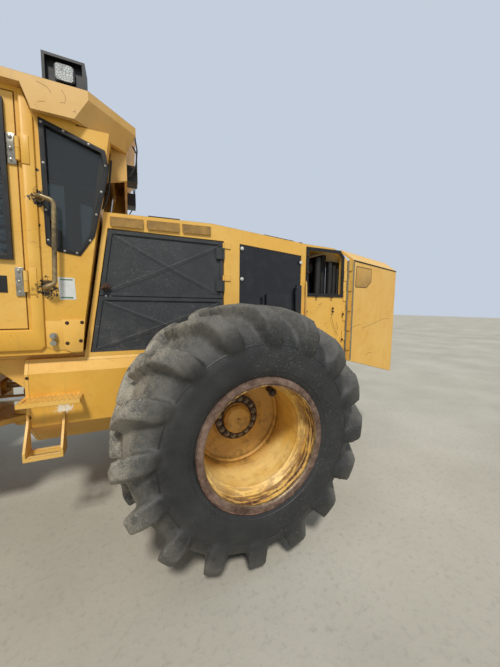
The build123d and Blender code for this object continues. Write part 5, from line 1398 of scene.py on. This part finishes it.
# %% [markdown]
# ## Inside the cab
# The seat's cushions are the only soft goods. Each starts from the block that the construction model keeps for it,
# gets a voxel skin and is blown up by a short cloth run with a limit on how far a point may go. Joysticks, a
# screen, pedals and a floor mat finish the place.

# %% Padded seat cushions
def cushion(name, low, high, swell):
    """A stuffed pad: a softened block, blown up gently and held within a limit."""
    inset = 0.014
    pad = box(name, Vector(low) + Vector((inset, inset, inset)), Vector(high) - Vector((inset, inset, inset)), 0.028)
    modifier(pad, "REMESH", mode="VOXEL", voxel_size=0.006)
    start = [point.co.copy() for point in pad.data.vertices]
    only(pad)
    cloth = pad.modifiers.new("Cloth", "CLOTH")
    cloth.settings.use_pressure = True
    cloth.settings.uniform_pressure_force = 4.0
    cloth.settings.effector_weights.gravity = 0.0
    for tick in range(1, 21):
        scene.frame_set(tick)
    bpy.ops.object.modifier_apply(modifier=cloth.name)
    scene.frame_set(1)
    for point, was in zip(pad.data.vertices, start):
        step = point.co - was
        if step.length > swell:
            point.co = was + step.normalized() * swell
    modifier(pad, "SMOOTH", factor=0.5, iterations=3)
    return pad


seat_low, seat_high = spot(1.330, -0.230, 1.7603), spot(1.740, 0.230, 1.870)
back_low, back_high = spot(1.2903, -0.215, 1.880), spot(1.390, 0.215, 2.480)
seat_pad = cushion("seat_cushion", seat_low, seat_high, 0.013)
back_pad = cushion("back_cushion", back_low, back_high, 0.013)
for pad in (seat_pad, back_pad):
    dressed(pad, "rear_body", seat_cloth, 80)
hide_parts("cab_cushions")
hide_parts("cab_cushions")
piping = []
for low, high in ((seat_low, seat_high), (back_low, back_high)):
    thin = min(range(3), key=lambda k: (high - low)[k])
    for share in (0.30, 0.70):
        if thin == 2:
            y = low.y + (high.y - low.y) * share
            piping.append(bar("seat_piping", [Vector((low.x + 0.03, y, high.z - 0.004)), Vector((high.x - 0.03, y, high.z - 0.004))], 0.004, 6))
        else:
            y = low.y + (high.y - low.y) * share
            piping.append(bar("seat_piping", [Vector((high.x - 0.004, y, low.z + 0.04)), Vector((high.x - 0.004, y, high.z - 0.04))], 0.004, 6))
dressed(joined(piping, "seat_piping"), "rear_body", seal_rubber_and_shade)

# %% Controls
controls = []
for side in (-1, 1):
    grip = spot(1.740, side * 0.30, 2.130)
    controls.append(bar("joystick", [grip, grip + Vector((0.008, 0, 0.05)), grip + Vector((0.020, 0, 0.115))], 0.021, 14, True))
    controls.append(bar("joystick_boot", [grip + Vector((0, 0, -0.115)), grip + Vector((0, 0, -0.060))], 0.036, 20))
    controls.append(box("armrest", spot(1.34, side * 0.30 - 0.045, 2.020), spot(1.64, side * 0.30 + 0.045, 2.055), 0.012))
controls.append(box("monitor", spot(1.90, -0.60, 2.16), spot(1.935, -0.38, 2.33), 0.010))
controls.append(bar("monitor_arm", [spot(1.92, -0.62, 2.02), spot(1.92, -0.58, 2.14), spot(1.92, -0.50, 2.20)], 0.012, 10, True))
for y in (-0.14, 0.10):
    controls.append(box("pedal", spot(1.98, y, 1.50), spot(2.06, y + 0.09, 1.53), 0.006))
dressed(joined(controls, "cab_controls"), "rear_body", cab_trim)
mat = box("floor_mat", spot(1.12, -0.62, 1.4603), spot(2.10, 0.62, 1.4700), 0.003)
dressed(mat, "rear_body", seal_rubber_and_shade)
lining = box("head_lining", spot(0.95, -0.60, 3.028), spot(2.10, 0.60, 3.056), 0.006)
dressed(lining, "rear_body", cab_trim)
print("cab furnished")

# %% [markdown]
# ## Cylinders
# A hydraulic cylinder has a bolted gland where the rod comes out, and a steel pipe along its barrel that feeds that
# end. Both are built along the line between the cylinder's two pins, so one function serves all five cylinders.

# %% Glands and feed pipes on the barrels
def cylinder_fittings(body, base, eye, length, radius, outward, collar=0.006):
    """Gland collar, its bolts and the feed pipe of one cylinder, on the side that outward points to. collar is how
    far the gland stands proud of the barrel."""
    along = (eye - base).normalized()
    out = (outward - along * outward.dot(along)).normalized()
    gland = bar(f"gland_{body}", [base + along * (length - 0.040), base + along * (length - 0.004)], radius + collar, 32)
    third = along.cross(out)
    heads = bolts(f"gland_{body}", [base + along * (length - 0.004) + (out * math.cos(a) + third * math.sin(a)) * (radius - 0.010)
                                    for a in (math.radians(60 * i + 30) for i in range(6))], along, 0.007, 0.005)
    dressed(joined([soften(gland, 0.003), heads], f"gland_{body}"), body, cast_grey)
    run = [base + along * share + out * (radius + 0.012) for share in (0.12, 0.20, length - 0.16, length - 0.075)]
    blocks = [bar(f"pipe_{body}", [base + along * share + out * (radius - 0.004), base + along * share + out * (radius + 0.024)], 0.015, 8)
              for share in (0.105, length - 0.075)]
    pipe = joined([bar(f"pipe_{body}", run, 0.007, 8)] + blocks, f"pipe_{body}")
    dressed(pipe, body, yellow)


up, inward = Vector((0, 0, 1)), Vector((0, 1, 0))
for name, side in (("left", 1), ("right", -1)):
    cylinder_fittings(f"steer_barrel_{name}", spot(2.350, side * 0.215, 1.010), spot(1.470, side * 0.240, 1.010), 0.560, 0.048, up,
                      collar=0.0)
    cylinder_fittings(f"lift_barrel_{name}", spot(2.930, side * 0.240, 1.090), spot(3.560, side * 0.240, 1.500), 0.610, 0.062, up)
cylinder_fittings("tilt_barrel", spot(3.200, 0, 1.930), spot(4.290, 0, 1.640), 0.770, 0.060, inward)

# %% [markdown]
# ## Tower of the felling head
# The tower carries the grab arms' cylinders behind bolted guard plates, and the saw's shroud carries scrapes.

# %% Guard plates and their bolts
tower_x = wheelbase + 1.65
plates = [side_sheet("tower_guard", ((tower_x - 0.31, 1.72), (tower_x - 0.10, 1.70), (tower_x - 0.10, 1.24), (tower_x - 0.31, 1.20)),
                     0.330, 0.010, 0.003)]
plates.append(other_side(plates[0], "tower_guard"))
dressed(joined(plates, "tower_guards"), "head_body", frame_paint)
guard_bolts = [flank_bolts("guard_bolts", [(tower_x + dx, z) for dx in (-0.285, -0.125) for z in (1.26, 1.47, 1.68)], 0.340, 0.010, 0.007)]
guard_bolts.append(other_side(guard_bolts[0], "guard_bolts"))
dressed(joined(guard_bolts, "tower_guard_bolts"), "head_body", dark_rust)

# %% Scrapes on the saw shroud
scrapes = [scratch("saw_scrape", [spot(tower_x - 0.46, -0.30 + 0.04 * i, 0.3305), spot(tower_x - 0.40 + 0.02 * i, -0.12 + 0.05 * i, 0.3305)], 0.0018)
           for i in range(7)]
dressed(joined(scrapes, "shroud_scrapes"), "head_body", worn_steel_and_highlight)
print("head and cylinders fitted")
